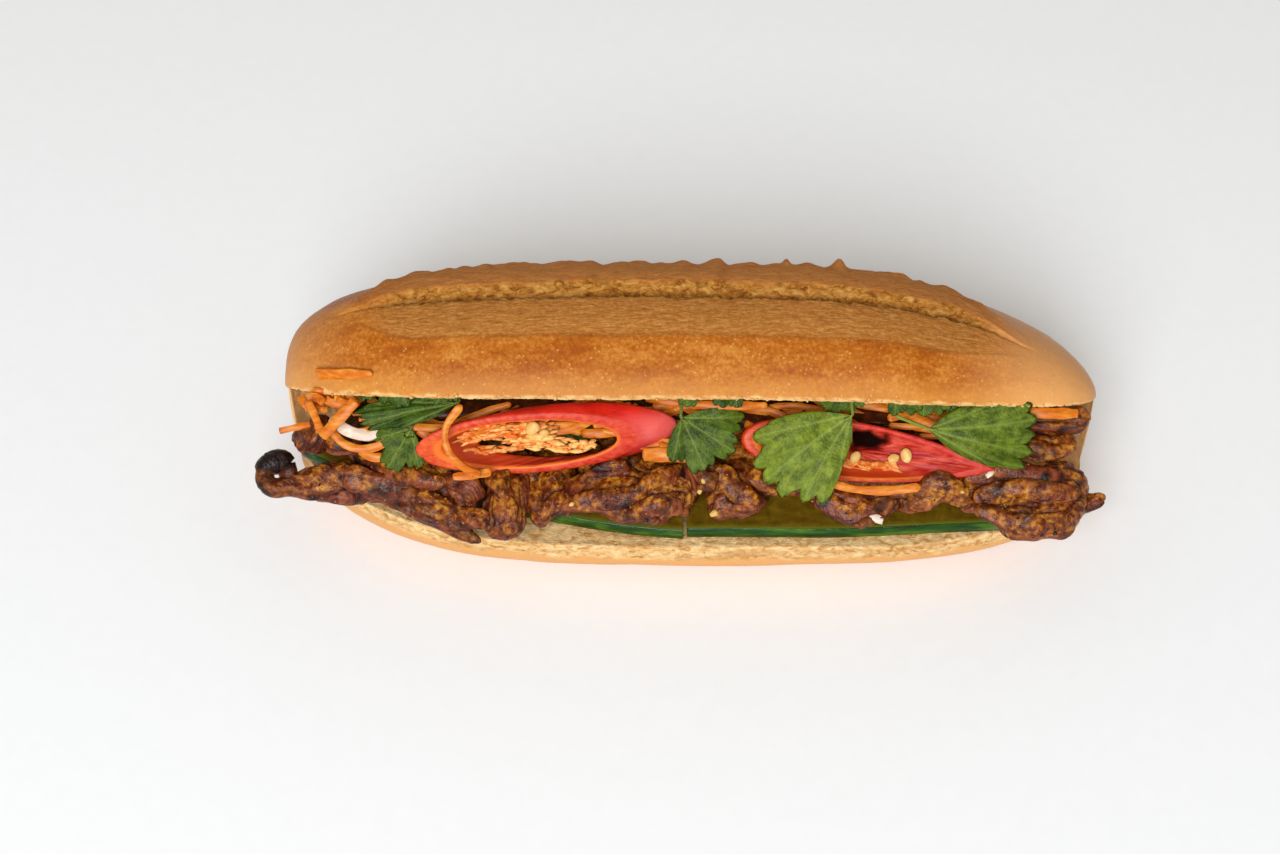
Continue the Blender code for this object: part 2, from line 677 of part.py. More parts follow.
def add_leaves():
    """The coriander leaves that hang out between the top crust and the rest."""
    leaves = {
        # name: (stem, tip, facing, breadth, lobes, depth of its notches, curl, skew)
        "front": ((44.5, -23, 60), (18, -37, 47), (0.0, -0.7, 0.7), 0.85, 9, 0.3, 0.15, -0.15),
        "right": ((66, -24.5, 56), (97.5, -27, 50.5), (0.1, -0.6, 0.8), 0.58, 9, 0.3, 0.15, -0.1),
        "middle": ((-3, -18.5, 54), (10, -27.5, 46.5), (0.1, -0.8, 0.6), 0.95, 7, 0.3, 0.15, 0.0),
        "left": ((-79.5, -18.5, 49.5), (-86.5, -26, 40.5), (-0.2, -0.8, 0.6), 0.85, 7, 0.3, 0.15, 0.0),
        "rim": ((-66, -14, 55.5), (-97, -15.5, 53), (0.0, -0.5, 0.85), 0.36, 9, 0.25, 0.15, 0.0),
        "inside": ((-42, -13.6, 43.2), (-25, -13.2, 44.2), (0.0, -0.8, 0.6), 0.5, 7, 0.2, 0.05, 0.0),
    }
    for name, shape in leaves.items():
        add_leaf(f"coriander_leaf_{name}", *shape)


def samples(mesh, faces_too):
    """The vertices of the mesh, each alone and, with faces_too, also as its edges and faces hold them."""
    verts = mesh.vertices
    alone = [[vert] for vert in verts]
    if not faces_too:
        return alone
    pairs = [[verts[i] for i in edge.vertices] for edge in mesh.edges]
    return alone + pairs + [[verts[i] for i in face.vertices] for face in mesh.polygons]


def press_apart(rigid, gap, rounds=8, reach=5 * MM):
    """Dents the soft pieces where they touch, until each stands clear of the others by gap."""
    nodes = [node for node in bpy.data.objects if node.type == "MESH"]
    for _ in range(rounds):
        trees, boxes = {}, {}
        for node in nodes:
            points = [vert.co + node.location for vert in node.data.vertices]
            trees[node] = BVHTree.FromPolygons(points, [list(face.vertices) for face in node.data.polygons])
            low = [min(point[i] for point in points) - gap for i in range(3)]
            high = [max(point[i] for point in points) + gap for i in range(3)]
            boxes[node] = (low, high)
        for node in nodes:
            if node.name in rigid:
                continue
            for other in nodes:
                low, high = boxes[other]
                apart = any(low[i] > boxes[node][1][i] or high[i] < boxes[node][0][i] for i in range(3))
                if other is node or apart:
                    continue
                share = 1.0 if other.name in rigid else 0.6
                for touching in samples(node.data, other.name in rigid):
                    point = sum((vert.co for vert in touching), Vector()) / len(touching) + node.location
                    if any(point[i] < low[i] or point[i] > high[i] for i in range(3)):
                        continue
                    near, normal, _, distance = trees[other].find_nearest(point, reach)
                    if near is None:
                        continue
                    inside = (point - near).dot(normal) < 0
                    short = gap + distance if inside else gap - distance
                    if short > 0:
                        away = normal if inside or distance < 1e-6 else (point - near).normalized()
                        for vert in touching:
                            vert.co += away * short * share / len(touching) ** 0.5


def clear_scene():
    """Removes whatever objects the scene starts with."""
    for node in list(bpy.data.objects):
        bpy.data.objects.remove(node, do_unlink=True)


def main():
    """Builds every solid of the sandwich, then sets the soft ones clear of what they touch."""
    clear_scene()
    add_bread()
    add_cucumbers()
    add_meats()
    add_chillies()
    add_onions()
    add_carrots()
    add_leaves()
    fixed = {"bread", "chilli_ring_left", "chilli_tip_right"}
    fixed |= {node.name for node in bpy.data.objects if node.name.startswith("cucumber")}
    press_apart(fixed, GAP)


main()
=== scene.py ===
"""The looks of a banh mi sandwich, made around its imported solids.

The roll is built again from its own driving sizes with a fine surface: a glossy front crust, the
dough that swelled out of the score, the torn crumb under the ear, and the crumb of the knife cut.
The fillings are dressed one by one: grilled meat, cucumber, slanting chilli slices, carrot shreds,
onion and coriander leaves, with small seeds, crumbs and garlic scattered over them.
"""

import logging
import math
import random
from dataclasses import dataclass, field
from enum import Enum
from typing import Callable, Optional, Sequence, Union

import bmesh
import bpy
from mathutils import Matrix, Vector, noise
from mathutils.bvhtree import BVHTree


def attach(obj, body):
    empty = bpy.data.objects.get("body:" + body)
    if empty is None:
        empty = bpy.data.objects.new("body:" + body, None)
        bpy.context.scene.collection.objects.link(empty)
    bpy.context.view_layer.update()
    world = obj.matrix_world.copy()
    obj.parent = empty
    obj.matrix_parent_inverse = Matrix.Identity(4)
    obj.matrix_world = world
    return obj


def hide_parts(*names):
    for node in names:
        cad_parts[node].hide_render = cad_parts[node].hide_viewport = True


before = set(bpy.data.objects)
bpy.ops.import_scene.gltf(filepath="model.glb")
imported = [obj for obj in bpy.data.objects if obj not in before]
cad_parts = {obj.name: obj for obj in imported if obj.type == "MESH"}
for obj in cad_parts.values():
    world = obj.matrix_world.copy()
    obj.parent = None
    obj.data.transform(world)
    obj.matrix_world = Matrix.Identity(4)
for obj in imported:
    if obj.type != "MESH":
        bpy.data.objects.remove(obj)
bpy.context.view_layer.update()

log = logging.getLogger("banh_mi")

MM = 0.001
BODY = "root"
FRONT_FACE = Vector((0.0, -0.67, 0.74))  # the way the open side of the sandwich looks

Colour = tuple[float, float, float]
Place = Callable[[int, int], tuple]


class Slot(Enum):
    """The finishes that the pieces of the sandwich take."""

    CRUST = "crust"
    CUCUMBER = "cucumber"
    MEAT = "meat"
    CHILLI = "chilli"
    CARROT = "carrot"
    ONION = "onion"
    CORIANDER = "coriander"


# Small sums


def smoothstep(low: float, high: float, value: float) -> float:
    """0 below low, 1 above high, and smooth between."""
    share = min(1.0, max(0.0, (value - low) / (high - low)))
    return share * share * (3.0 - 2.0 * share)


def bump_at(value: float, centre: float, width: float) -> float:
    """A smooth bump of height 1 at centre, gone about two widths away."""
    return math.exp(-(((value - centre) / width) ** 2))


def tint(red: int, green: int, blue: int) -> Colour:
    """A colour given as it looks on a screen, 0 to 255, as the linear colour that shaders use."""
    return tuple(
        (c / 12.92 if c <= 0.04045 else ((c + 0.055) / 1.055) ** 2.4) for c in (red / 255, green / 255, blue / 255)
    )


def mm_points(points: Sequence[Sequence[float]]) -> list[Vector]:
    """Points in millimetres as vectors in metres."""
    return [Vector(point) * MM for point in points]


def spline_point(points: Sequence[Vector], share: float) -> Vector:
    """The point at that share of the way along a Catmull-Rom curve through points."""
    spans = len(points) - 1
    at = min(max(share, 0.0), 1.0) * spans
    i = min(int(at), spans - 1)
    f = at - i
    before, start = points[max(i - 1, 0)], points[i]
    end, after = points[i + 1], points[min(i + 2, spans)]
    return 0.5 * (
        2 * start
        + (end - before) * f
        + (2 * before - 5 * start + 4 * end - after) * f**2
        + (3 * start - before - 3 * end + after) * f**3
    )


# Meshes


class Clay:
    """A mesh in the making, to which closed shapes are added, marked and then given relief.

    Args:
        marks: names of the numbers that each point carries, which the materials read.
    """

    def __init__(self, *marks: str) -> None:
        self.bm = bmesh.new()
        self.marks = {name: self.bm.verts.layers.float.new(name) for name in marks}

    def wrap(self, columns: int, rows: int, place: Place) -> list[bmesh.types.BMVert]:
        """Adds a closed shape: a grid whose edges are welded and whose open ends are capped.

        Args:
            columns: spans of the grid one way.
            rows: spans of the grid the other way.
            place: gives (point, value of each mark...) for a (column, row) of the grid.

        Returns:
            The points that were added.
        """
        added = bmesh.ops.create_grid(self.bm, x_segments=columns, y_segments=rows, size=0.5)["verts"]
        layers = list(self.marks.values())
        for vert in added:
            column = round((vert.co.x + 0.5) * columns)
            row = round((vert.co.y + 0.5) * rows)
            vert.co, *values = place(column, row)
            for layer, value in zip(layers, values):
                vert[layer] = value
        bmesh.ops.remove_doubles(self.bm, verts=added, dist=1e-6)
        added = [vert for vert in added if vert.is_valid]
        edges = {edge for vert in added for edge in vert.link_edges if edge.is_boundary}
        bmesh.ops.holes_fill(self.bm, edges=list(edges), sides=0)
        faces = list({face for vert in added for face in vert.link_faces})
        bmesh.ops.recalc_face_normals(self.bm, faces=faces)
        if sum(face.calc_center_median().dot(face.normal) * face.calc_area() for face in faces) < 0:
            bmesh.ops.reverse_faces(self.bm, faces=faces)
        return added

    def blob(self, matrix: Matrix, seed: float, rough: float = 0.25, values: Sequence[float] = ()) -> None:
        """Adds a small uneven lump: a unit sphere put in place by matrix."""
        added = bmesh.ops.create_icosphere(self.bm, subdivisions=2, radius=1.0)["verts"]
        for vert in added:
            vert.co *= 1.0 + rough * noise.noise(vert.co * 1.6 + Vector((seed, seed * 0.7, 0.0)))
            for layer, value in zip(self.marks.values(), values):
                vert[layer] = value
        bmesh.ops.transform(self.bm, matrix=matrix, verts=added)

    def raise_by(self, relief: Callable[[bmesh.types.BMVert], float]) -> None:
        """Moves every point along its normal by relief, in metres."""
        self.bm.normal_update()
        moves = [(vert, vert.normal * relief(vert)) for vert in self.bm.verts]
        for vert, move in moves:
            vert.co += move

    def piece(self, name: str, material: bpy.types.Material, slot: Slot, *nodes: str) -> bpy.types.Object:
        """Finishes the mesh as a smooth piece that rides with the sandwich.

        Args:
            name: name of the piece.
            material: its finish.
            slot: not used.
            nodes: the solids that the piece stands for.

        Returns:
            The piece.
        """
        mesh = bpy.data.meshes.new(name)
        self.bm.to_mesh(mesh)
        self.bm.free()
        mesh.shade_smooth()
        mesh.materials.append(material)
        made = bpy.data.objects.new(name, mesh)
        bpy.context.scene.collection.objects.link(made)
        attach(made, BODY)
        if nodes:
            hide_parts(*nodes)
        log.info("%s: %d faces, stands for %s", name, len(mesh.polygons), ", ".join(nodes) or "nothing")
        return made


def soft_copy(node: str, voxel: float, *marks: str) -> Clay:
    """A CAD node's shape as an even mesh that can take relief.

    Args:
        node: name of the solid.
        voxel: size of the new faces, in metres.
        marks: names of the numbers that each point carries.

    Returns:
        The shape, with its facets rounded off.
    """
    clay = Clay(*marks)
    rough = bmesh.new()
    rough.from_mesh(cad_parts[node].data)
    bmesh.ops.remove_doubles(rough, verts=rough.verts, dist=1e-6)
    bmesh.ops.subdivide_edges(rough, edges=rough.edges, cuts=1, use_grid_fill=True, smooth=0.6)
    mesh = bpy.data.meshes.new(f"{node}_even")
    rough.to_mesh(mesh)
    rough.free()
    even = bpy.data.objects.new(f"{node}_even", mesh)
    bpy.context.scene.collection.objects.link(even)
    remesh = even.modifiers.new("even", "REMESH")
    remesh.mode = "VOXEL"
    remesh.voxel_size = voxel
    remesh.adaptivity = 0.0
    bpy.context.view_layer.update()
    evaluated = even.evaluated_get(bpy.context.evaluated_depsgraph_get())
    clay.bm.from_mesh(evaluated.to_mesh())
    evaluated.to_mesh_clear()
    bpy.data.objects.remove(even)
    bpy.data.meshes.remove(mesh)
    for _ in range(3):
        bmesh.ops.smooth_vert(
            clay.bm, verts=clay.bm.verts, factor=0.5, use_axis_x=True, use_axis_y=True, use_axis_z=True
        )
    clay.marks = {
        name: clay.bm.verts.layers.float.get(name) or clay.bm.verts.layers.float.new(name) for name in marks
    }
    return clay


class Cover:
    """The outside of finished pieces, met by lines that run in through the open side.

    Args:
        pieces: the pieces.
    """

    up = Vector((0.0, 0.74, 0.67))  # upwards, square to FRONT_FACE

    def __init__(self, pieces: Sequence[bpy.types.Object]) -> None:
        points, faces = [], []
        for piece in pieces:
            first = len(points)
            points.extend(vert.co.copy() for vert in piece.data.vertices)
            faces.extend([first + index for index in face.vertices] for face in piece.data.polygons)
        self.tree = BVHTree.FromPolygons(points, faces)

    def hit(self, across: float, up: float) -> Optional[Vector]:
        """The first point met at that place of the open side, both in mm, or nothing."""
        start = Vector((across, 0.0, 0.0)) * MM + self.up * up * MM + FRONT_FACE * 0.3
        return self.tree.ray_cast(start, -FRONT_FACE)[0]

    def spot(self, across: float, up: float) -> Vector:
        """The point met there, or the nearest one to a middling depth if there is none."""
        found = self.hit(across, up)
        if found is None:
            guess = Vector((across, 0.0, 0.0)) * MM + self.up * up * MM + FRONT_FACE * 52 * MM
            found = self.tree.find_nearest(guess)[0]
        return found

    def near(self, point: Vector, lift: float) -> Vector:
        """The point drawn halfway to the outside there, and lifted off it."""
        found = self.tree.find_nearest(point)[0]
        return point.lerp(found, 0.5) + FRONT_FACE * lift


# Materials

Value = Union[float, Colour, bpy.types.NodeSocket]


class Graph:
    """A material's node tree, built up around its Principled shader.

    Args:
        name: name of the material.
    """

    def __init__(self, name: str) -> None:
        self.material = bpy.data.materials.new(name)
        self.material.use_nodes = True
        self.tree = self.material.node_tree
        self.shader = self.tree.nodes["Principled BSDF"]
        self.place = self.tree.nodes.new("ShaderNodeTexCoord").outputs["Object"]

    def feed(self, socket: bpy.types.NodeSocket, value: Value) -> None:
        """Links or sets a socket."""
        if isinstance(value, bpy.types.NodeSocket):
            self.tree.links.new(value, socket)
        elif isinstance(value, tuple) and len(socket.default_value) == 4:
            socket.default_value = (*value, 1.0)
        else:
            socket.default_value = value

    def stretched(self, x: float, y: float, z: float, source: Optional[bpy.types.NodeSocket] = None) -> Value:
        """The place on the piece, scaled by x, y and z."""
        node = self.tree.nodes.new("ShaderNodeMapping")
        self.feed(node.inputs["Vector"], source or self.place)
        node.inputs["Scale"].default_value = (x, y, z)
        return node.outputs["Vector"]

    def joined(self, x: Value, y: Value, z: Value) -> Value:
        """A vector of three numbers."""
        node = self.tree.nodes.new("ShaderNodeCombineXYZ")
        for socket, value in zip(node.inputs, (x, y, z)):
            self.feed(socket, value)
        return node.outputs["Vector"]

    def axis(self, letter: str) -> Value:
        """One coordinate of the place on the piece."""
        node = self.tree.nodes.new("ShaderNodeSeparateXYZ")
        self.feed(node.inputs["Vector"], self.place)
        return node.outputs[letter]

    def mark(self, name: str) -> Value:
        """The number of that name that the points carry."""
        node = self.tree.nodes.new("ShaderNodeAttribute")
        node.attribute_name = name
        return node.outputs["Fac"]

    def facing(self, axis: str = "Z") -> Value:
        """How far the surface's normal points along an axis, from -1 to 1."""
        geometry = self.tree.nodes.new("ShaderNodeNewGeometry")
        node = self.tree.nodes.new("ShaderNodeSeparateXYZ")
        self.feed(node.inputs["Vector"], geometry.outputs["Normal"])
        return node.outputs[axis]

    def noise(self, scale: float, detail: float = 3.0, rough: float = 0.55, twist: float = 0.0,
              at: Optional[Value] = None) -> Value:
        """Cloudy noise, about 0.5 on average, with scale cells to the metre."""
        node = self.tree.nodes.new("ShaderNodeTexNoise")
        self.feed(node.inputs["Vector"], at or self.place)
        for name, value in (("Scale", scale), ("Detail", detail), ("Roughness", rough), ("Distortion", twist)):
            node.inputs[name].default_value = value
        return node.outputs["Fac"]

    def cells(self, scale: float, output: str = "Distance", feature: str = "F1", at: Optional[Value] = None) -> Value:
        """A pattern of cells, scale to the metre."""
        node = self.tree.nodes.new("ShaderNodeTexVoronoi")
        node.feature = feature
        self.feed(node.inputs["Vector"], at or self.place)
        node.inputs["Scale"].default_value = scale
        return node.outputs[output]

    def sum(self, kind: str, *values: Value, clamp: bool = False) -> Value:
        """A Math node of that kind."""
        node = self.tree.nodes.new("ShaderNodeMath")
        node.operation = kind
        node.use_clamp = clamp
        for socket, value in zip(node.inputs, values):
            self.feed(socket, value)
        return node.outputs["Value"]

    def remap(self, value: Value, low: float, high: float, to_low: float = 0.0, to_high: float = 1.0) -> Value:
        """The value's range from low to high, stretched smoothly to another and held there."""
        node = self.tree.nodes.new("ShaderNodeMapRange")
        node.interpolation_type = "SMOOTHSTEP"
        for socket, number in zip(node.inputs[:5], (value, low, high, to_low, to_high)):
            self.feed(socket, number)
        return node.outputs["Result"]

    def mix(self, share: Value, first: Value, second: Value, kind: str = "MIX") -> Value:
        """Two colours mixed, or blended in another way."""
        node = self.tree.nodes.new("ShaderNodeMix")
        node.data_type = "RGBA"
        node.blend_type = kind
        self.feed(node.inputs["Factor"], share)
        self.feed(node.inputs[6], first)
        self.feed(node.inputs[7], second)
        return node.outputs[2]

    def ramp(self, share: Value, *stops: tuple[float, Colour]) -> Value:
        """Colours along a value."""
        node = self.tree.nodes.new("ShaderNodeValToRGB")
        self.feed(node.inputs["Fac"], share)
        band = node.color_ramp
        while len(band.elements) < len(stops):
            band.elements.new(0.5)
        for element, (at, colour) in zip(band.elements, stops):
            element.position = at
            element.color = (*colour, 1.0)
        return node.outputs["Color"]

    def relief(self, height: Value, distance: float, strength: Value = 1.0, under: Optional[Value] = None) -> Value:
        """A bump: height times distance, in metres, over another bump."""
        node = self.tree.nodes.new("ShaderNodeBump")
        node.inputs["Distance"].default_value = distance
        self.feed(node.inputs["Strength"], strength)
        self.feed(node.inputs["Height"], height)
        if under is not None:
            self.feed(node.inputs["Normal"], under)
        return node.outputs["Normal"]

    def dress(self, **settings: Value) -> bpy.types.Material:
        """Sets the shader's sockets, named with _ for a space, and gives the material."""
        for name, value in settings.items():
            self.feed(self.shader.inputs[name.replace("_", " ")], value)
        return self.material


# The roll


class Skin(Enum):
    """The parts of the roll's outline, in the order that its rows run round it."""

    UNDER = "outside of the lower half"
    CROWN = "outside of the upper half"
    UPPER_CUT = "cut face of the upper half"
    FOLD = "uncut crumb at the hinge"
    LOWER_CUT = "cut face of the lower half"


@dataclass
class Roll:
    """The bread: a scored roll, split along its front and turned open about its back crust."""

    length: float = 236 * MM
    reach: float = 36.5 * MM
    crown_height: float = 33 * MM
    under_depth: float = 24.5 * MM
    cut_level: float = 20.5 * MM
    cut_tilt: float = 0.06
    roundness: float = 2.35
    back_taper: tuple = ((3.4, 2.6), (3.0, 2.4))
    upper_taper: tuple = ((3.4, 2.6), (4.0, 2.6))
    lower_taper: tuple = ((3.4, 1.15), (4.0, 2.5))
    crown_taper: tuple = ((3.6, 3.0), (2.6, 1.7))
    under_taper: tuple = ((3.6, 3.6), (3.2, 3.2))
    hinge_thickness: float = 9 * MM
    hinge_y: float = 30 * MM
    hinge_z: float = 21.5 * MM
    opening: float = math.radians(42.7)
    sag: float = math.radians(4.5)
    tuck: float = 0.02
    hinge_share: float = 0.09
    shallowest: float = 0.8 * MM
    lip: float = 0.16
    tear: float = 0.295
    ear: float = 0.355
    crest: float = 0.51
    closed: tuple = (0.30, 0.25)
    score_ends: tuple = (-0.88, 0.84)
    score_fade: float = 0.22
    tear_depth: float = 3.0 * MM
    ear_lift: float = 1.9 * MM
    crust_lip: float = 0.45 * MM
    marks: tuple = ("swell", "tear", "ear", "crumb", "pale", "round")
    # Torn points along the ear's crest: (place along the roll, height, half length), in mm
    spikes: tuple = (
        (28.0, 1.5, 1.0), (43.2, 2.4, 1.5), (60.0, 0.7, 3.0), (17.9, 0.6, 1.6), (8.5, 0.8, 1.6), (-14.4, 0.5, 3.0),
        (-34.9, 0.7, 3.0), (-48.0, 0.6, 2.5), (-56.4, 0.5, 2.0),
    )
    stations: int = 372
    cap_stations: int = 32

    def end_taper(self, along: float, taper: tuple) -> float:
        """1 at the middle of the roll, falling to 0 at its ends."""
        power, root = taper[0] if along < 0 else taper[1]
        return (1.0 - abs(along) ** power) ** (1.0 / root)

    def oval(self, share: float) -> tuple[float, float]:
        """(across, height) of a unit half section, share 0 at the front rim and 1 at the back."""
        angle = math.pi * share
        across, height = -math.cos(angle), math.sin(angle)
        power = 2.0 / self.roundness
        return math.copysign(abs(across) ** power, across), abs(height) ** power

    def cut_height(self, y: float) -> float:
        """Height of the knife cut at that depth."""
        return self.cut_level + self.cut_tilt * y

    def swell(self, along: float, share: float) -> float:
        """The slow swells of a hand-shaped loaf, as a share of its radius."""
        return 1.0 + 0.022 * noise.noise(Vector((along * 3.1, share * 2.7, 4.2)))

    def score(self, along: float) -> float:
        """1 where the score is open, 0 past its ends."""
        first, last = self.score_ends
        opening = smoothstep(first, first + self.score_fade, along)
        return opening * (1.0 - smoothstep(last - self.score_fade, last, along))

    def score_line(self, line: float, along: float) -> float:
        """Where a line of the score runs, drawn in towards one line at its ends."""
        closed = self.closed[0] if along < 0 else self.closed[1]
        closed += (line - 0.3) * 0.25
        wander = 0.004 * noise.noise(Vector((along * 19.0, line * 9.0, 1.7)))
        return closed + (line + wander - closed) * self.score(along)

    def half_width(self, along: float, across: float, front: tuple) -> float:
        """Reach of the roll from its middle plane, to the front or to the back."""
        return self.reach * self.end_taper(along, front if across < 0 else self.back_taper)

    def under_point(self, along: float, share: float) -> Vector:
        """A point of the shut roll under the cut."""
        across, height = self.oval(share)
        swell = self.swell(along, share)
        y = across * self.half_width(along, across, self.lower_taper) * swell
        z = self.cut_height(y) - height * self.under_depth * self.end_taper(along, self.under_taper) * swell
        return Vector((along * self.length / 2, y, max(z, 0.0)))

    def crown_point(self, along: float, share: float, relief: float = 0.0) -> Vector:
        """A point of the shut roll over the cut, raised by relief."""
        across, height = self.oval(share)
        swell = self.swell(along, -share)
        y = across * self.half_width(along, across, self.upper_taper) * swell
        z = self.cut_height(y) + height * self.crown_height * self.end_taper(along, self.crown_taper) * swell
        outward = Vector((0.0, y, z - self.cut_level)).normalized()
        return Vector((along * self.length / 2, y, z)) + outward * relief

    def opened(self, point: Vector, share: float) -> Vector:
        """The point turned up about the hinge by that share of the opening angle."""
        along = point.x / (self.length / 2)
        turn = -(self.opening - self.sag * max(0.0, along) ** 2) * share
        y, z = point.y - self.hinge_y, point.z - self.hinge_z
        return Vector(
            (
                point.x * (1.0 - self.tuck * (1.0 - share) * along**4),
                self.hinge_y + y * math.cos(turn) - z * math.sin(turn),
                self.hinge_z + y * math.sin(turn) + z * math.cos(turn),
            )
        )

    def pocket_back(self, along: float) -> float:
        """How far back the knife went at that place."""
        back = self.half_width(along, 1.0, self.lower_taper)
        rims = [self.half_width(along, -1.0, taper) for taper in (self.upper_taper, self.lower_taper)]
        return max(back - self.hinge_thickness, self.shallowest - min(rims))

    def step_profile(self, line: float, along: float) -> float:
        """Height of the score's steps over the plain loaf, at a line of the score."""
        strength = self.score(along)
        ragged = 1.0 + 0.5 * noise.noise(Vector((along * 26.0, 0.0, 9.0)))
        raised = self.ear_lift * strength
        lip = self.crust_lip * strength
        steps = (
            (self.lip - 0.004, 0.0),
            (self.lip + 0.004, -lip),
            ((self.lip + self.tear) / 2, -0.2 * lip),
            (self.tear - 0.008, 0.5 * lip),
            (self.tear, 0.3 * lip),
            (self.tear + (self.ear - self.tear) * 0.3, -self.tear_depth * strength * ragged),
            (self.ear - 0.006, 0.35 * raised * ragged),
            (self.ear, 0.85 * raised * ragged),
            ((self.ear + self.crest) / 2, raised),
            (self.crest - 0.006, 1.15 * raised * ragged),
            (self.crest + 0.03, 0.2 * raised),
            (self.crest + 0.09, 0.0),
        )
        if line <= steps[0][0] or line >= steps[-1][0]:
            return 0.0
        for (start, low), (end, high) in zip(steps, steps[1:]):
            if line <= end:
                return low + (high - low) * smoothstep(start, end, line)
        return 0.0

    def rows(self) -> list[tuple[Skin, float]]:
        """The rows that run round a section, close together where the surface is seen and torn."""

        def run(skin: Skin, start: float, end: float, count: int) -> list[tuple[Skin, float]]:
            return [(skin, start + (end - start) * i / count) for i in range(count)]

        return [
            *run(Skin.UNDER, 0.0, 0.05, 6),
            *run(Skin.UNDER, 0.05, 0.32, 18),
            *run(Skin.UNDER, 0.32, 0.7, 10),
            *run(Skin.UNDER, 0.7, 1.0, 16),
            *run(Skin.CROWN, 1.0, 0.56, 28),
            *run(Skin.CROWN, 0.56, self.ear, 24),
            *run(Skin.CROWN, self.ear, self.tear, 15),
            *run(Skin.CROWN, self.tear, self.lip, 28),
            *run(Skin.CROWN, self.lip, 0.02, 28),
            *run(Skin.CROWN, 0.02, 0.0, 5),
            *run(Skin.UPPER_CUT, 0.0, 0.06, 5),
            *run(Skin.UPPER_CUT, 0.06, 1.0, 7),
            *run(Skin.FOLD, 0.0, 1.0, 4),
            *run(Skin.LOWER_CUT, 1.0, 0.32, 8),
            *run(Skin.LOWER_CUT, 0.32, 0.0, 22),
            (Skin.LOWER_CUT, 0.0),
        ]

    def section_point(self, along: float, skin: Skin, at: float) -> Vector:
        """A point of the opened roll, before its fine relief."""
        if skin is Skin.UNDER:
            return self.opened(self.under_point(along, at), 0.5 * smoothstep(1 - self.hinge_share, 1, at))
        if skin is Skin.CROWN:
            lip, crest = self.score_line(self.lip, along), self.score_line(self.crest, along)
            if at < self.lip:
                share = lip * at / self.lip
            elif at > self.crest:
                share = crest + (at - self.crest) / (1.0 - self.crest) * (1.0 - crest)
            else:
                share = self.score_line(at, along)
            bend = 1.0 - 0.5 * smoothstep(1 - self.hinge_share, 1, share)
            return self.opened(self.crown_point(along, share, self.step_profile(at, along)), bend)
        back = Vector((along * self.length / 2, self.pocket_back(along), 0.0))
        back.z = self.cut_height(back.y)
        if skin is Skin.FOLD:
            return self.opened(back, 1.0 - at)
        if skin is Skin.UPPER_CUT:
            return self.opened(self.crown_point(along, 0.0).lerp(back, at), 1.0)
        return self.opened(self.under_point(along, 0.0).lerp(back, at), 0.0)

    def places(self) -> list[float]:
        """Places along the roll, from end to end, drawn together round its blunt ends."""
        shoulder = 0.62
        turns = [math.pi / 2 * i / self.cap_stations for i in range(self.cap_stations)]
        radii = [0.05 + (shoulder - 0.05) * math.sin(turn) for turn in turns]
        caps = [(1.0 - radius**2.6) ** (1 / 3.4) for radius in radii]
        edge = (1.0 - shoulder**2.6) ** (1 / 3.4)
        middle = [edge * (2 * i / self.stations - 1) for i in range(self.stations + 1)]
        return [-cap for cap in caps] + middle + caps[::-1]

    def mark_values(self, along: float, skin: Skin, at: float) -> tuple[float, ...]:
        """The marks of a point: swell, tear, ear, crumb, pale and round."""
        swell = tear = ear = crumb = pale = 0.0
        strength = self.score(along)
        if skin is Skin.CROWN:
            wobble = 0.008 * noise.noise(Vector((along * 30.0, at * 10.0, 3.0)))
            at += wobble
            swell = smoothstep(self.lip - 0.014, self.lip + 0.020, at) * (1 - smoothstep(self.tear, self.ear, at))
            tear = smoothstep(self.tear - 0.010, self.tear + 0.004, at)
            tear *= 1 - smoothstep(self.ear - 0.004, self.ear + 0.004, at)
            ear = smoothstep(self.ear - 0.004, self.ear + 0.006, at)
            ear *= 1 - smoothstep(self.crest, self.crest + 0.05, at)
            swell, tear, ear = swell * smoothstep(0.1, 1.0, strength), tear * strength, ear * strength
            pale = 1 - smoothstep(0.001, 0.0065 + 0.004 * noise.noise(Vector((along * 90.0, 0.0, 6.0))), at)
        elif skin is Skin.UNDER:
            torn = 0.055 + 0.03 * noise.noise(Vector((along * 14.0, 0.0, 2.0)))
            crumb = 1 - smoothstep(torn, torn + 0.02, at)
        else:
            crumb = 1.0
        return swell, tear, ear, crumb, pale, at

    def relief(self, vert: bmesh.types.BMVert, clay: Clay) -> float:
        """Fine relief of the crust, the tear and the crumb, in metres."""
        swell, tear, ear, crumb, pale, at = (vert[clay.marks[name]] for name in self.marks)
        point = vert.co / MM
        height = 0.28 * noise.noise(point / 13.0) + 0.07 * noise.noise(point / 2.6)
        if swell > 0.01:
            wrinkle = noise.noise(Vector((point.x / 8.0, at * 62.0, 2.0)))
            fine = noise.noise(Vector((point.x / 3.0, at * 150.0, 7.0)))
            height += swell * (0.17 * wrinkle + 0.10 * fine)
        if tear > 0.01:
            height += tear * (0.9 * noise.noise(point / 1.9) + 0.55 * noise.noise(point / 0.9) - 0.15)
        if ear > 0.01:
            ridged = noise.noise(Vector((point.x / 7.0, at * 46.0, 5.0)))
            height += ear * (0.24 * ridged + 0.1 * noise.noise(point / 1.1))
        near_crest = bump_at(at, self.crest - 0.004, 0.02)
        if near_crest > 0.02 and crumb < 0.5 and abs(point.x) < 95:
            height += near_crest * 0.6 * max(0.0, noise.noise(Vector((point.x / 3.6, 0.0, 8.0))) + 0.05)
            height += near_crest * sum(high * bump_at(point.x, where, half) for where, high, half in self.spikes)
        if crumb > 0.5 or pale > 0.05:
            cells = noise.voronoi(Vector((point.x / 2.3, point.y / 1.7, point.z / 1.7)))[0]
            small = noise.voronoi(point / 0.95)[0]
            pit = 0.75 * (1 - smoothstep(0.1, 0.5, cells[0])) * smoothstep(-0.25, 0.2, noise.noise(point / 4.0))
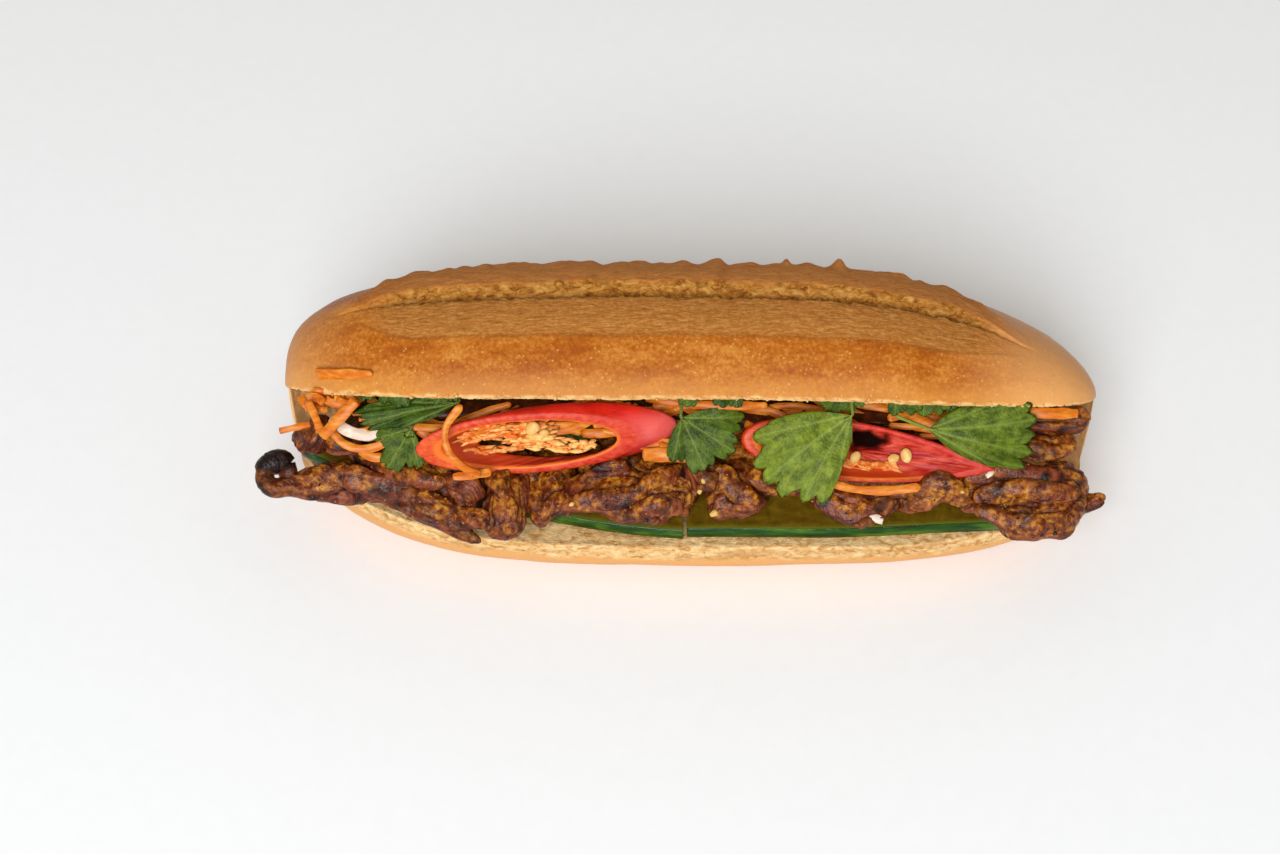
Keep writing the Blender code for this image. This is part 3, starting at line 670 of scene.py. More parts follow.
            pit += 0.3 * (1 - smoothstep(0.1, 0.5, small[0]))
            height += max(crumb, pale) * (0.25 * noise.noise(point / 1.4) - pit * (1 - 0.6 * pale))
        return height * MM

    def build(self, finish: bpy.types.Material) -> bpy.types.Object:
        """Models and dresses the bread."""
        clay = Clay(*self.marks)
        places, rows = self.places(), self.rows()

        def place(column: int, row: int) -> tuple:
            skin, at = rows[row]
            return (self.section_point(places[column], skin, at), *self.mark_values(places[column], skin, at))

        clay.wrap(len(places) - 1, len(rows) - 1, place)
        base = {vert for vert in clay.bm.verts if vert.co.z < 0.3 * MM}
        clay.raise_by(lambda vert: 0.0 if vert in base else self.relief(vert, clay))
        for vert in clay.bm.verts:
            vert.co.z = max(vert.co.z, 0.0)
        return clay.piece("bread_roll", finish, Slot.CRUST, "bread")


@dataclass(frozen=True)
class CrustFinish:
    """Baked crust and crumb: golden and glossy in front, matte where the dough swelled and tore."""

    golden: Colour = tint(171, 95, 21)
    deep: Colour = tint(149, 73, 11)
    light: Colour = tint(194, 127, 50)
    # Painted light: a lighter crust colour for the low front band next to the cut.
    low_light: Colour = tint(202, 136, 56)
    end: Colour = tint(226, 166, 102)
    # Partly the end crust's own tan, partly painted light that lifts the shaded end walls of the pocket.
    wall: Colour = tint(248, 192, 126)
    swollen: Colour = tint(172, 111, 47)
    swollen_dark: Colour = tint(148, 88, 32)
    swollen_light: Colour = tint(196, 140, 76)
    ear: Colour = tint(196, 128, 62)
    ear_dark: Colour = tint(168, 96, 38)
    torn: Colour = tint(170, 112, 42)
    torn_dark: Colour = tint(112, 62, 14)
    torn_light: Colour = tint(200, 152, 82)
    crumb: Colour = tint(216, 172, 112)
    crumb_dark: Colour = tint(176, 120, 58)
    crumb_light: Colour = tint(238, 206, 152)
    rim: Colour = tint(228, 190, 124)
    blister: Colour = tint(228, 172, 98)
    under: Colour = tint(226, 168, 100)
    blister_scale: float = 560.0

    def make(self) -> bpy.types.Material:
        """The material."""
        graph = Graph("crust")
        swell, tear, ear = graph.mark("swell"), graph.mark("tear"), graph.mark("ear")
        crumb, pale, around = graph.mark("crumb"), graph.mark("pale"), graph.mark("round")
        mottle = graph.noise(900, 4, 0.65)
        # The oven's colour: broad clouds, finer streaks along the roll and a fine mottle
        clouds = graph.noise(1.0, 4, 0.6, at=graph.stretched(34.0, 70.0, 70.0))
        streaky = graph.noise(1.0, 3, 0.6, at=graph.stretched(110.0, 320.0, 320.0))
        bake = graph.sum("MULTIPLY_ADD", mottle, 0.42, graph.sum("MULTIPLY", clouds, 0.34))
        bake = graph.sum("MULTIPLY_ADD", streaky, 0.26, bake)
        crust = graph.ramp(bake, (0.42, self.deep), (0.51, self.golden), (0.62, self.light))
        # Painted light: the crust turns lighter along its low front band, next to the cut.
        crust = graph.mix(graph.remap(around, 0.075, 0.01, 0.0, 0.55), crust, self.low_light)
        ends = graph.sum("ABSOLUTE", graph.sum("ADD", graph.axis("X"), 0.012))
        low = graph.remap(graph.axis("Z"), 0.024, 0.010)
        crust = graph.mix(graph.remap(ends, 0.078, 0.120, 0.0, 0.75), crust, self.end)
        crust = graph.mix(graph.sum("MULTIPLY", low, 0.8), crust, self.under)
        cells = graph.cells(self.blister_scale)
        chosen = graph.remap(graph.noise(self.blister_scale * 0.6, 0), 0.45, 0.53)
        blisters = graph.sum("MULTIPLY", graph.remap(cells, 0.24, 0.09), chosen)
        crust = graph.mix(graph.sum("MULTIPLY", blisters, 0.5), crust, self.blister)
        # Matte dough that swelled out of the score, finely creased along the roll
        along = graph.sum("MULTIPLY", graph.axis("X"), 260.0)
        streaks = graph.noise(1.0, 5, 0.62, 0.5, at=graph.joined(along, graph.sum("MULTIPLY", around, 150.0), 0.0))
        grainy = graph.sum("MULTIPLY_ADD", mottle, 0.4, graph.sum("MULTIPLY", streaks, 0.6))
        swollen = graph.ramp(grainy, (0.36, self.swollen_dark), (0.50, self.swollen), (0.66, self.swollen_light))
        ears = graph.ramp(grainy, (0.36, self.ear_dark), (0.52, self.ear), (0.68, self.swollen_light))
        # Crumb: uneven pores, drawn out along the roll, with soft golden streaks
        pores = graph.noise(1.0, 5, 0.7, 0.8, at=graph.stretched(300.0, 520.0, 520.0))
        golden = graph.noise(1.0, 3, 0.5, at=graph.stretched(60.0, 260.0, 260.0))
        crumbs = graph.ramp(pores, (0.34, self.crumb_dark), (0.46, self.crumb), (0.64, self.crumb_light))
        crumbs = graph.mix(graph.remap(golden, 0.5, 0.66, 0.0, 0.45), crumbs, self.crumb_dark)
        # At the ends of the pocket the crumb turns pale tan: partly the end crust's own tone, partly painted light that
        # lifts the shaded end walls.
        crumbs = graph.mix(graph.remap(graph.sum("ABSOLUTE", graph.axis("X")), 0.096, 0.106), crumbs, self.wall)
        torn = graph.ramp(pores, (0.36, self.torn_dark), (0.50, self.torn), (0.68, self.torn_light))
        colour = graph.mix(swell, crust, swollen)
        colour = graph.mix(ear, colour, ears)
        colour = graph.mix(tear, colour, torn)
        colour = graph.mix(graph.sum("MULTIPLY", pale, 0.85), colour, self.rim)
        colour = graph.mix(crumb, colour, crumbs)
        matte = graph.sum("MAXIMUM", graph.sum("MAXIMUM", swell, ear), graph.sum("MAXIMUM", tear, crumb))
        height = graph.sum("MULTIPLY_ADD", blisters, 0.6, graph.sum("ADD", mottle, streaky))
        crust_bump = graph.relief(height, 0.00022, 0.6)
        rough_bump = graph.relief(graph.sum("ADD", streaks, pores), 0.0006, graph.sum("MULTIPLY", matte, 0.7), crust_bump)
        return graph.dress(
            Base_Color=colour,
            Roughness=graph.remap(matte, 0.0, 1.0, 0.45, 0.9),
            Normal=rough_bump,
            Specular_IOR_Level=0.14,
        )


# The grilled meat


@dataclass(frozen=True)
class Cut:
    """One piece of meat: the solid it dresses and how it is grained and cooked."""

    node: str
    grain: tuple[float, float, float] = (1.0, 0.0, 0.0)
    creases: float = 1.1  # depth of its folds, in mm
    fibres: float = 0.45  # depth between its bundles of fibres, in mm
    glaze: float = 0.5
    char: float = 0.15
    burnt: Optional[tuple[float, float]] = None  # left of and above this place it is burnt black, in mm


@dataclass
class Meat:
    """Folded slices and strips of grilled meat, one piece for each."""

    voxel: float = 0.5 * MM
    marks: tuple = ("glaze", "char", "crease", "grain_x", "grain_y")
    cuts: tuple = (
        Cut("meat_strip_curled", (0.93, -0.36, 0.0), 0.5, 0.4, 0.35, 0.3, (-114.0, 7.2)),
        Cut("meat_slice_left", (0.85, -0.5, 0.0), 0.7, 0.4, 0.3),
        Cut("meat_bite_left_end", (0.5, 0.2, 0.8), 0.8, 0.4, 0.4, 0.4),
        Cut("meat_crackling_left", (1.0, 0.0, 0.1), 0.7, 0.4, 0.4, 0.4),
        Cut("meat_fold_left", (0.0, 0.8, 0.6), 0.6, 0.5, 0.5),
        Cut("meat_bite_left", (0.2, 0.7, 0.5), 1.2, 0.45, 0.7),
        Cut("meat_fold_middle", (1.0, 0.1, 0.15), 1.3, 0.45, 0.8),
        Cut("meat_crackling_middle", (0.3, 0.0, 1.0), 0.7, 0.3, 0.9),
        Cut("meat_bite_middle", (1.0, 0.2, 0.2), 1.0, 0.45, 0.7),
        Cut("meat_strip_right", (1.0, 0.05, 0.0), 0.6, 0.4, 0.3),
        Cut("meat_fold_right", (1.0, 0.0, 0.0), 0.9, 0.4, 0.2),
        Cut("meat_arch_right", (1.0, 0.0, 0.4), 0.9, 0.4, 0.8),
        Cut("meat_slab_right", (0.97, 0.0, 0.2), 1.2, 0.5, 0.7, 0.2),
        Cut("meat_tip_right", (0.8, 0.0, 0.6), 0.5, 0.4, 0.4, 0.6),
        Cut("meat_end_right", (1.0, 0.0, 0.1), 0.7, 0.45, 0.4, 0.3),
        Cut("meat_crackling_right", (1.0, 0.0, 0.0), 0.6, 0.6, 0.9, 0.3),
    )

    curl_centre: Vector = Vector((-119.3, -19.4, 30.2))  # middle of the curled tip, in mm
    # Lumps that close the curl and cap it: (across, out, height), half width and half height in mm
    curl_lumps: tuple = (((-115.9, -19.4, 30.1), 2.0, 3.0), ((-119.4, -15.0, 32.6), 3.2, 1.6))

    # Each flap: (across, up) of its start, middle and end in mm as the open side shows it, width, thickness
    flaps: tuple = (
        ((-100, 6), (-90, 4), (-78, 1), 7.0, 2.6),
        ((-92, 9), (-82, 6), (-70, 4), 5.0, 2.2),
        ((-80, 0), (-70, -4), (-60, -9), 7.0, 2.8),
        ((-70, 6), (-64, 3), (-60, -3), 6.0, 2.4),
        ((-56, 8), (-54, 2), (-52, -7), 6.5, 3.0),
        ((-48, 8), (-45, 4), (-44, -4), 6.0, 2.8),
        ((-38, -3), (-31, 4), (-18, 9), 6.0, 2.4),
        ((-32, -6), (-16, 1), (-3, 8), 6.5, 2.6),
        ((-18, -5), (-8, -2), (-1, -4), 5.5, 2.4),
        ((-3, 9), (3, 6), (8, 2), 6.0, 2.6),
        ((7, 8), (13, 2), (19, -3), 6.0, 2.4),
        ((18, 8), (26, 4), (34, 2), 6.0, 2.4),
        ((32, -1), (46, -5), (59, -1), 6.0, 2.2),
        ((36, 6), (50, 3), (64, 3), 6.0, 2.4),
        ((60, 5), (70, 4), (78, 0), 6.0, 2.4),
        ((78, 6), (92, 9), (106, 6), 7.0, 2.4),
        ((80, 0), (94, 2), (110, 0), 6.0, 2.2),
        ((82, -6), (95, -8), (106, -5), 6.0, 2.6),
    )

    def relief(self, vert: bmesh.types.BMVert, cut: Cut, seed: Vector, clay: Clay) -> float:
        """Folds, bundles of fibres and lumps of glaze, mostly cut into the solid.

        Args:
            vert: the point, which gets its marks.
            cut: how this piece is grained and cooked.
            seed: moves the noise from piece to piece.
            clay: the mesh that the point is in.

        Returns:
            The relief, in metres.
        """
        point, grain = vert.co / MM, Vector(cut.grain).normalized()
        run = point.dot(grain)
        across = point - grain * run
        warp = noise.noise_vector(point / 9.0 + seed) * 2.2
        fold = noise.noise((across + warp) / 7.5 + grain * run / 34.0 + seed)
        crease = 1.0 - smoothstep(0.0, 0.075, abs(fold))
        bundle = noise.noise((across + warp) / 2.4 + grain * run / 20.0 + seed * 2.0)
        fibre = noise.noise((across + warp * 0.6) / 0.8 + grain * run / 9.0 + seed * 3.0)
        patch = noise.noise(point / 7.0 + seed * 1.3)
        glaze = smoothstep(-0.25, 0.45, patch + 0.8 * vert.normal.z - 0.25 + (cut.glaze - 0.5))
        lengthwise = across + grain * run / 2.6
        lumps = 0.4 * noise.noise(lengthwise / 1.9 + seed) + 0.35 * noise.noise(point / 0.95 + seed)
        ragged = noise.noise(lengthwise / 3.4 + seed * 1.9)
        height = 0.25 + 1.2 * cut.fibres * bundle + 0.55 * cut.fibres * fibre * (1.0 - 0.6 * glaze) + 0.65 * ragged
        height += -1.0 * cut.creases * crease + 0.5 * abs(fold) + (0.1 + 0.5 * glaze) * lumps
        charring = noise.noise(point / 5.0 + seed * 0.6) + 0.5 * cut.char
        char = smoothstep(0.42, 0.62, charring) * (1.0 - 0.6 * glaze)
        if cut.burnt and point.x < cut.burnt[0]:
            inward = (self.curl_centre - point).normalized().dot(vert.normal)
            height = 0.35 * height + 0.35 + 0.5 * smoothstep(0.3, 0.8, inward)
            burn = smoothstep(cut.burnt[1] - 1.0, cut.burnt[1] + 0.8, Cover.up.dot(point) + 0.8 * ragged)
            char, height = max(char, burn), height + 0.7 * burn
        values = (glaze * (1.0 - 0.7 * crease), char, crease, run, across.length)
        for layer, value in zip(clay.marks.values(), values):
            vert[layer] = value
        return height * MM

    def build(self, finish: bpy.types.Material) -> list[bpy.types.Object]:
        """Models and dresses every piece of meat."""
        pieces = []
        for index, cut in enumerate(self.cuts):
            clay = soft_copy(cut.node, self.voxel, *self.marks)
            seed = Vector((index * 7.3, index * 3.1, index * 1.7))
            for place, wide, tall in self.curl_lumps if cut.burnt else ():
                size = Matrix.Diagonal((wide * MM, 2.2 * MM, tall * MM, 1.0))
                turn = Matrix.Rotation(math.radians(-48), 4, "X")
                clay.blob(Matrix.Translation(Vector(place) * MM) @ turn @ size, wide, 0.4)
            clay.raise_by(lambda vert: self.relief(vert, cut, seed, clay))
            pieces.append(clay.piece(cut.node.replace("meat", "grilled_meat"), finish, Slot.MEAT, cut.node))
        pieces.append(self.build_flaps(Cover(pieces), finish))
        return pieces

    def build_flaps(self, cover: "Cover", finish: bpy.types.Material) -> bpy.types.Object:
        """Thin flaps of meat that lie over the larger pieces and close the gaps between them."""
        clay = Clay(*self.marks)
        spans, sides = 64, 30
        for index, (start, middle, end, width, thickness) in enumerate(self.flaps):
            route = [cover.spot(*spot) for spot in (start, middle, end)]
            route = [spline_point(route, i / 6) for i in range(7)]
            route = [cover.near(point, 0.25 * thickness * MM) for point in route]

            def place(column: int, row: int) -> tuple:
                share = column / spans
                centre = spline_point(route, share)
                ahead = (spline_point(route, share + 0.02) - spline_point(route, share - 0.02)).normalized()
                side = ahead.cross(FRONT_FACE).normalized()
                up = side.cross(ahead)
                turn = 0.5 * noise.noise(Vector((index * 3.0, share * 1.5, 0.0)))
                side, up = side * math.cos(turn) + up * math.sin(turn), up * math.cos(turn) - side * math.sin(turn)
                angle = 2 * math.pi * (row % sides) / sides
                closing = max(1.0 - abs(2 * share - 1) ** 3.5, 0.0) ** 0.5
                uneven = 1.0 + 0.6 * noise.noise(Vector((index * 5.0, share * 3.0 + math.cos(angle), 2.0)))
                reach = side * math.cos(angle) * width * closing * uneven
                reach += up * math.sin(angle) * thickness * (0.25 + 0.75 * closing)
                return (centre + reach * MM / 2, 0.0, 0.0, 0.0, 0.0, 0.0)

            added = clay.wrap(spans, sides, place)
            ahead = (route[-1] - route[0]).normalized()
            cut = Cut("", tuple(ahead), 0.35, 0.3, 0.2 + 0.5 * (index % 3) / 2, 0.2)
            seed = Vector((index * 2.9, index * 4.1, 40.0))
            clay.bm.normal_update()
            moves = [(vert, vert.normal * 0.6 * self.relief(vert, cut, seed, clay)) for vert in added]
            for vert, move in moves:
                vert.co += move
        return clay.piece("grilled_meat_flaps", finish, Slot.MEAT)


@dataclass(frozen=True)
class MeatFinish:
    """Grilled meat: dark red-brown, with a wet mustard-brown glaze, black charred edges and painted shade in its
    creases.
    """

    deep: Colour = tint(46, 13, 4)
    brown: Colour = tint(100, 37, 12)
    rosy: Colour = tint(146, 76, 42)
    glaze_dark: Colour = tint(78, 29, 4)
    glaze: Colour = tint(138, 72, 10)
    glaze_light: Colour = tint(204, 138, 40)
    char: Colour = tint(28, 12, 7)

    def make(self) -> bpy.types.Material:
        """The material."""
        graph = Graph("grilled_meat")
        run = graph.sum("MULTIPLY", graph.mark("grain_x"), 0.13)
        fibres = graph.noise(1.0, 4, 0.6, at=graph.joined(run, graph.sum("MULTIPLY", graph.mark("grain_y"), 1.3), 0.0))
        mottle = graph.noise(480, 5, 0.62, 0.3)
        patches = graph.noise(150, 4, 0.6)
        share = graph.sum("MULTIPLY_ADD", mottle, 0.2, graph.sum("MULTIPLY", fibres, 0.8))
        lean = graph.ramp(share, (0.38, self.deep), (0.49, self.brown), (0.62, self.rosy))
        lean = graph.mix(graph.remap(patches, 0.50, 0.66, 0.0, 0.75), lean, self.deep)
        glaze = graph.ramp(mottle, (0.40, self.glaze_dark), (0.50, self.glaze), (0.64, self.glaze_light))
        wet = graph.sum("MULTIPLY", graph.mark("glaze"), graph.remap(patches, 0.66, 0.40, 0.25, 0.9))
        colour = graph.mix(wet, lean, glaze)
        # Painted shade: the creases are darkened toward the deep colour.
        colour = graph.mix(graph.sum("MULTIPLY", graph.mark("crease"), 0.6), colour, self.deep)
        colour = graph.mix(graph.mark("char"), colour, self.char)
        height = graph.sum("MULTIPLY_ADD", mottle, 0.5, fibres)
        return graph.dress(
            Base_Color=colour,
            Roughness=graph.remap(mottle, 0.35, 0.7, 0.22, 0.5),
            Normal=graph.relief(height, 0.0009, 1.0),
            Specular_IOR_Level=0.16,
            Coat_Weight=0.16,
            Coat_Roughness=0.05,
            Coat_Normal=graph.relief(patches, 0.0016, 1.0, graph.relief(fibres, 0.0005, 0.8)),
        )


# The cucumber


@dataclass
class Cucumber:
    """Slices cut lengthwise that lie on the lower crumb, their skin to the front."""

    thickness: float = 4.0
    gap: float = 0.45
    columns: int = 150
    marks: tuple = ("rind", "along", "flesh")
    # node: ((x, y) of both ends of the skin, depth inward, inward direction), in mm
    slices: tuple = (
        ("cucumber_slice_left_end", (-114.5, -4.5), (-78, -23.5), 14, (0.75, 0.66)),
        ("cucumber_slice_left", (-52, -26), (-2.3, -34.6), 24, (0.0, 1.0)),
        ("cucumber_slice_right", (-1.2, -34.0), (89, -31.6), 25, (0.0, 1.0)),
    )

    def outline(self, depth: float) -> list[tuple[float, float, float]]:
        """(depth inward, height as a share, rind) round a slice's section, in mm."""
        skin = [(0.5 - 0.5 * math.sin(math.pi * i / 10), i / 10) for i in range(11)]
        points = [(0.9 * (1 - math.sin(math.pi * (0.15 + 0.7 * height))), height, 1.0) for _, height in skin]
        steps = (0.02, 0.05, 0.09, 0.14, 0.2, 0.28, 0.38, 0.5, 0.7, 0.98)
        top = [(depth * step + 0.4, 1.0, 0.0) for step in steps]
        bottom = [(depth * step + 0.4, 0.0, 0.0) for step in reversed(steps)]
        return points + top + [(depth, 0.85, 0.0), (depth, 0.15, 0.0)] + bottom

    def build(self, roll: Roll, finish: bpy.types.Material) -> None:
        """Models and dresses the slices."""
        for node, start, end, depth, inward in self.slices:
            clay = Clay(*self.marks)
            outline = self.outline(depth)
            start, end = Vector((*start, 0.0)) * MM, Vector((*end, 0.0)) * MM
            inward = Vector((*inward, 0.0)).normalized()

            def place(column: int, row: int) -> tuple:
                into, height, rind = outline[row % len(outline)]
                share = column / self.columns
                point = start.lerp(end, share) + inward * into * MM
                bow = math.sin(math.pi * share) * (1.0 - into / depth)
                point -= inward * bow * 1.1 * MM
                wave = 0.25 * math.sin(point.x / (9 * MM))
                low = roll.cut_height(point.y) + (self.gap + wave + 0.25) * MM
                dish = 0.35 * smoothstep(0.5, 5.0, into) if height > 0.9 else 0.0
                point.z = low + (height * self.thickness - dish) * MM
                return point, rind, point.x, smoothstep(0.3, 2.4, into)

            clay.wrap(self.columns, len(outline), place)
            clay.raise_by(lambda vert: (0.07 * noise.noise(vert.co / (2.2 * MM)) - 0.04) * MM)
            clay.piece(node.replace("slice", "cut"), finish, Slot.CUCUMBER, node)


@dataclass(frozen=True)
class CucumberFinish:
    """Wet cucumber: dark green streaked skin, a pale rim under it and olive see-through flesh."""

    skin: Colour = tint(28, 66, 3)
    skin_dark: Colour = tint(12, 38, 2)
    skin_light: Colour = tint(74, 108, 18)
    rim: Colour = tint(112, 116, 36)
    flesh: Colour = tint(90, 64, 8)
    flesh_light: Colour = tint(120, 94, 20)

    def make(self) -> bpy.types.Material:
        """The material."""
        graph = Graph("cucumber")
        streak = graph.noise(1.0, 3, 0.6, at=graph.stretched(60.0, 500.0, 420.0))
        skin = graph.ramp(streak, (0.34, self.skin_dark), (0.52, self.skin), (0.72, self.skin_light))
        clouds = graph.noise(260, 4, 0.6)
        flesh = graph.ramp(clouds, (0.35, self.flesh), (0.7, self.flesh_light))
        flesh = graph.mix(graph.mark("flesh"), self.rim, flesh)
        colour = graph.mix(graph.remap(graph.mark("rind"), 0.45, 0.6), flesh, skin)
        return graph.dress(
            Base_Color=colour, Roughness=graph.remap(clouds, 0.3, 0.7, 0.12, 0.3),
            Normal=graph.relief(graph.sum("ADD", clouds, streak), 0.0003, 0.5), Specular_IOR_Level=0.22)


# The chilli


@dataclass
class Chilli:
    """Two slanting slices of a large red chilli: a hollow ring, and the pointed end like a boat."""

    ring: tuple = ((-79.5, -24.2, 45.8), (-2.5, -20.6, 49.2))
    ring_width: float = 20.5
    ring_wall: float = 2.8
    ring_end_wall: float = 8.0
    ring_thickness: float = 5.0
    ring_facing: float = 16.0
    tip: tuple = ((14.0, -20.5, 47.8), (86.5, -27.0, 41.3))
    tip_width: float = 21.0
    tip_depth: float = 7.0
    tip_facing: float = 42.0
    marks: tuple = ("cut", "inner", "red", "turn", "hollow", "sheen")

    def slanted(self, ends: tuple, facing: float) -> tuple[Callable[[float, float, float], Vector], float]:
        """A function from (x, y, depth) on a leaning face to space, in mm, and its half length."""
        left, right = mm_points(ends)
        along = (right - left).normalized()
        lean = Vector((0.0, -math.cos(math.radians(facing)), math.sin(math.radians(facing))))
        face = (lean - along * lean.dot(along)).normalized()
        upward = face.cross(along)
        centre = (left + right) / 2
        half = (right - left).length / 2 / MM
        return lambda x, y, depth: centre + (along * x + upward * y - face * depth) * MM, half

    def ring_profile(self) -> list[tuple[float, float, float, float, float]]:
        """(wall share, depth, slide, cut, inner) round the ring's section, outer skin first."""
        corners = (
            (0.0, 0.3, -0.62, 0.0, 0.0),
            (-0.02, 0.62, 0.3, 0.0, 0.0),
            (0.05, 0.92, 0.9, 0.0, 0.0),
            (0.3, 1.0, 1.0, 1.0, 0.0),
            (0.86, 1.0, 1.0, 1.0, 0.15),
            (1.02, 0.85, 0.8, 0.2, 1.0),
            (1.0, 0.5, -0.1, 0.0, 1.0),
            (1.02, 0.2, -0.8, 0.2, 1.0),
            (0.9, 0.03, -1.0, 1.0, 0.4),
            (0.55, -0.02, -1.0, 1.0, 0.0),
            (0.3, 0.01, -0.98, 1.0, 0.0),
            (0.1, 0.1, -0.9, 0.5, 0.0),
        )
        steps, rows = 3, []
        for index in range(len(corners)):
            first, second = corners[index], corners[(index + 1) % len(corners)]
            for step in range(steps):
                rows.append(tuple(a + (b - a) * step / steps for a, b in zip(first, second)))
        return rows

    def build_ring(self, finish: bpy.types.Material) -> None:
        """The hollow slice on the left."""
        on_face, long_half = self.slanted(self.ring, self.ring_facing)
        short_half, thick = self.ring_width / 2, self.ring_thickness
        slant = math.asin(short_half / long_half)
        shift = min(thick / math.tan(slant), 0.3 * long_half) / 2
        long_half -= shift
        profile = self.ring_profile()
        around = 220
        clay = Clay(*self.marks)

        def place(column: int, row: int) -> tuple:
            angle = 2 * math.pi * (column % around) / around
            into, depth, slide, cut, inner = profile[row % len(profile)]
            uneven = 1.0 + 0.035 * noise.noise(Vector((math.cos(angle) * 1.6, math.sin(angle) * 1.6, 3.0)))
            wall_x, wall_y = self.ring_end_wall, self.ring_wall * uneven
            ribs = 0.25 * inner * noise.noise(Vector((math.cos(angle) * 9.0, math.sin(angle) * 9.0, depth * 2.0)))
            half_x = long_half - wall_x * into
            half_y = short_half * (0.985 + 0.015 * uneven) - wall_y * into + ribs
            x = half_x * math.cos(angle) + shift * slide
            y = half_y * math.sin(angle)
            red = 0.75 * smoothstep(-1.0, 0.6, math.cos(angle) + 0.5 * max(math.sin(angle), 0.0))
            # Painted highlight: a soft pale patch on the outer skin at the ring's right end.
            sheen = bump_at(math.sin(angle), 0.1, 0.55) * smoothstep(0.6, 0.95, math.cos(angle)) * (1.0 - inner)
            return on_face(x, y, depth * thick), cut, inner, red, angle, 0.0, sheen

        clay.wrap(around, len(profile), place)
        clay.raise_by(lambda vert: 0.12 * MM * noise.noise(vert.co / (4.0 * MM)))
        clay.piece("chilli_ring", finish, Slot.CHILLI, "chilli_ring_left")

    def build_tip(self, finish: bpy.types.Material) -> None:
        """The pointed end on the right, hollow side up."""
        on_face, long_half = self.slanted(self.tip, self.tip_facing)
        short_half, deep = self.tip_width / 2, self.tip_depth
        rows = (
            # (share of the rim's outline, depth as a share, cut, inner)
            (0.0, 0.62, 0.0, 1.0), (0.25, 0.6, 0.0, 1.0), (0.5, 0.52, 0.0, 1.0), (0.7, 0.34, 0.0, 1.0),
            (0.82, 0.12, 0.2, 1.0), (0.87, 0.02, 1.0, 0.4), (0.93, -0.01, 1.0, 0.0), (0.975, 0.02, 0.7, 0.0),
            (1.0, 0.12, 0.0, 0.0), (0.98, 0.3, 0.0, 0.0), (0.88, 0.6, 0.0, 0.0), (0.65, 0.87, 0.0, 0.0),
            (0.35, 0.98, 0.0, 0.0), (0.0, 1.0, 0.0, 0.0),
        )
        steps = 4
        dense = [
            tuple(a + (b - a) * step / steps for a, b in zip(first, second))
            for first, second in zip(rows, rows[1:])
            for step in range(steps)
        ] + [rows[-1]]
        around = 200
        clay = Clay(*self.marks)

        def place(column: int, row: int) -> tuple:
            angle = 2 * math.pi * (column % around) / around
            reach, down, cut, inner = dense[row]
            x = math.cos(angle)
            y = math.sin(angle) * (0.5 - 0.5 * x) ** 0.35 * (1.0 if x < 0.9 else 0.8)
            ribs = 0.12 * inner * noise.noise(Vector((angle * 3.2, reach * 2.0, 2.0)))
            dip = deep * (down + ribs) * (1.0 - 0.55 * (0.5 + 0.5 * x * reach))
            at_x = long_half * x * reach - 0.12 * (1 - reach) * long_half
            red = smoothstep(-0.25, 0.25, x * reach + 0.9 * y * reach)
            at_y = short_half * y * reach
            ragged = 1.0 + 0.5 * noise.noise(Vector((at_x / 3.0, at_y / 2.0, 5.0)))
            # The hollow mark picks out the tip's deep hollow, which is cut deeper here and also gets a painted shadow
            # in the finish.
            hollow = inner * (1.0 - smoothstep(0.6, 1.1, math.hypot((at_x + 1.0) / 6.5, (at_y - 3.6) / 3.4) * ragged))
            return on_face(at_x, at_y, dip + 1.2 * hollow), cut, inner, red, angle, hollow, 0.0

        clay.wrap(around, len(dense) - 1, place)
        clay.raise_by(lambda vert: 0.1 * MM * noise.noise(vert.co / (4.0 * MM)))
        clay.piece("chilli_tip", finish, Slot.CHILLI, "chilli_tip_right")

    def build_inside(self, finish: bpy.types.Material, seeds: bpy.types.Material) -> None:
        """The stringy membranes that hold the seeds, and the seeds."""
        on_ring, _ = self.slanted(self.ring, self.ring_facing)
        on_tip, _ = self.slanted(self.tip, self.tip_facing)
        clay = Clay("tone")
        rng = random.Random(23)
        # Each mass: face, (x from, to), (y from, to, rise along it), depth, pale share, strands
        masses = (
            (on_ring, (-25.0, 1.0), (0.8, 6.0, 0.02), 2.6, 0.35, 120),
            (on_ring, (-10.0, 13.0), (-1.6, 1.6, -0.16), 2.2, 0.75, 60),
            (on_ring, (-24.0, -8.0), (-3.6, -2.4, 0.0), 3.4, 0.2, 26),
            (on_ring, (-7.0, 3.5), (1.0, 5.0, -0.3), 1.4, 0.9, 26),
            (on_tip, (-12.0, 8.0), (-5.6, -3.0, 0.06), 2.6, 0.15, 50),
        )
        for on_face, (left, right), (low, high, rise), depth, pale, count in masses:
            for index in range(count):
                x, y = rng.uniform(left, right), rng.uniform(low, high)
                y += rise * (x - left)
                inset = 1.0 - abs(2.0 * (x - left) / (right - left) - 1.0) ** 4
                centre = on_face(x, y * (0.7 + 0.3 * inset), depth + rng.uniform(-0.9, 0.9))
                ahead = (on_face(1.0, rng.gauss(0.0, 0.22), rng.gauss(0.0, 0.2)) - on_face(0.0, 0.0, 0.0)).normalized()
                turn = ahead.to_track_quat("X", "Z").to_matrix().to_4x4()
                long, wide = rng.uniform(1.0, 3.4), rng.uniform(0.35, 0.95)
                size = Matrix.Diagonal((long * MM, wide * MM, wide * 0.8 * MM, 1.0))
                tone = min(1.0, max(0.0, rng.gauss(pale, 0.3)))
                clay.blob(Matrix.Translation(centre) @ turn @ size, index * 1.7 + x, 0.7, (tone,))
        clay.raise_by(lambda vert: 0.14 * MM * noise.noise(vert.co / (0.8 * MM)))
        clay.piece("chilli_membranes", finish, Slot.CHILLI)
        clay = Clay("tone")
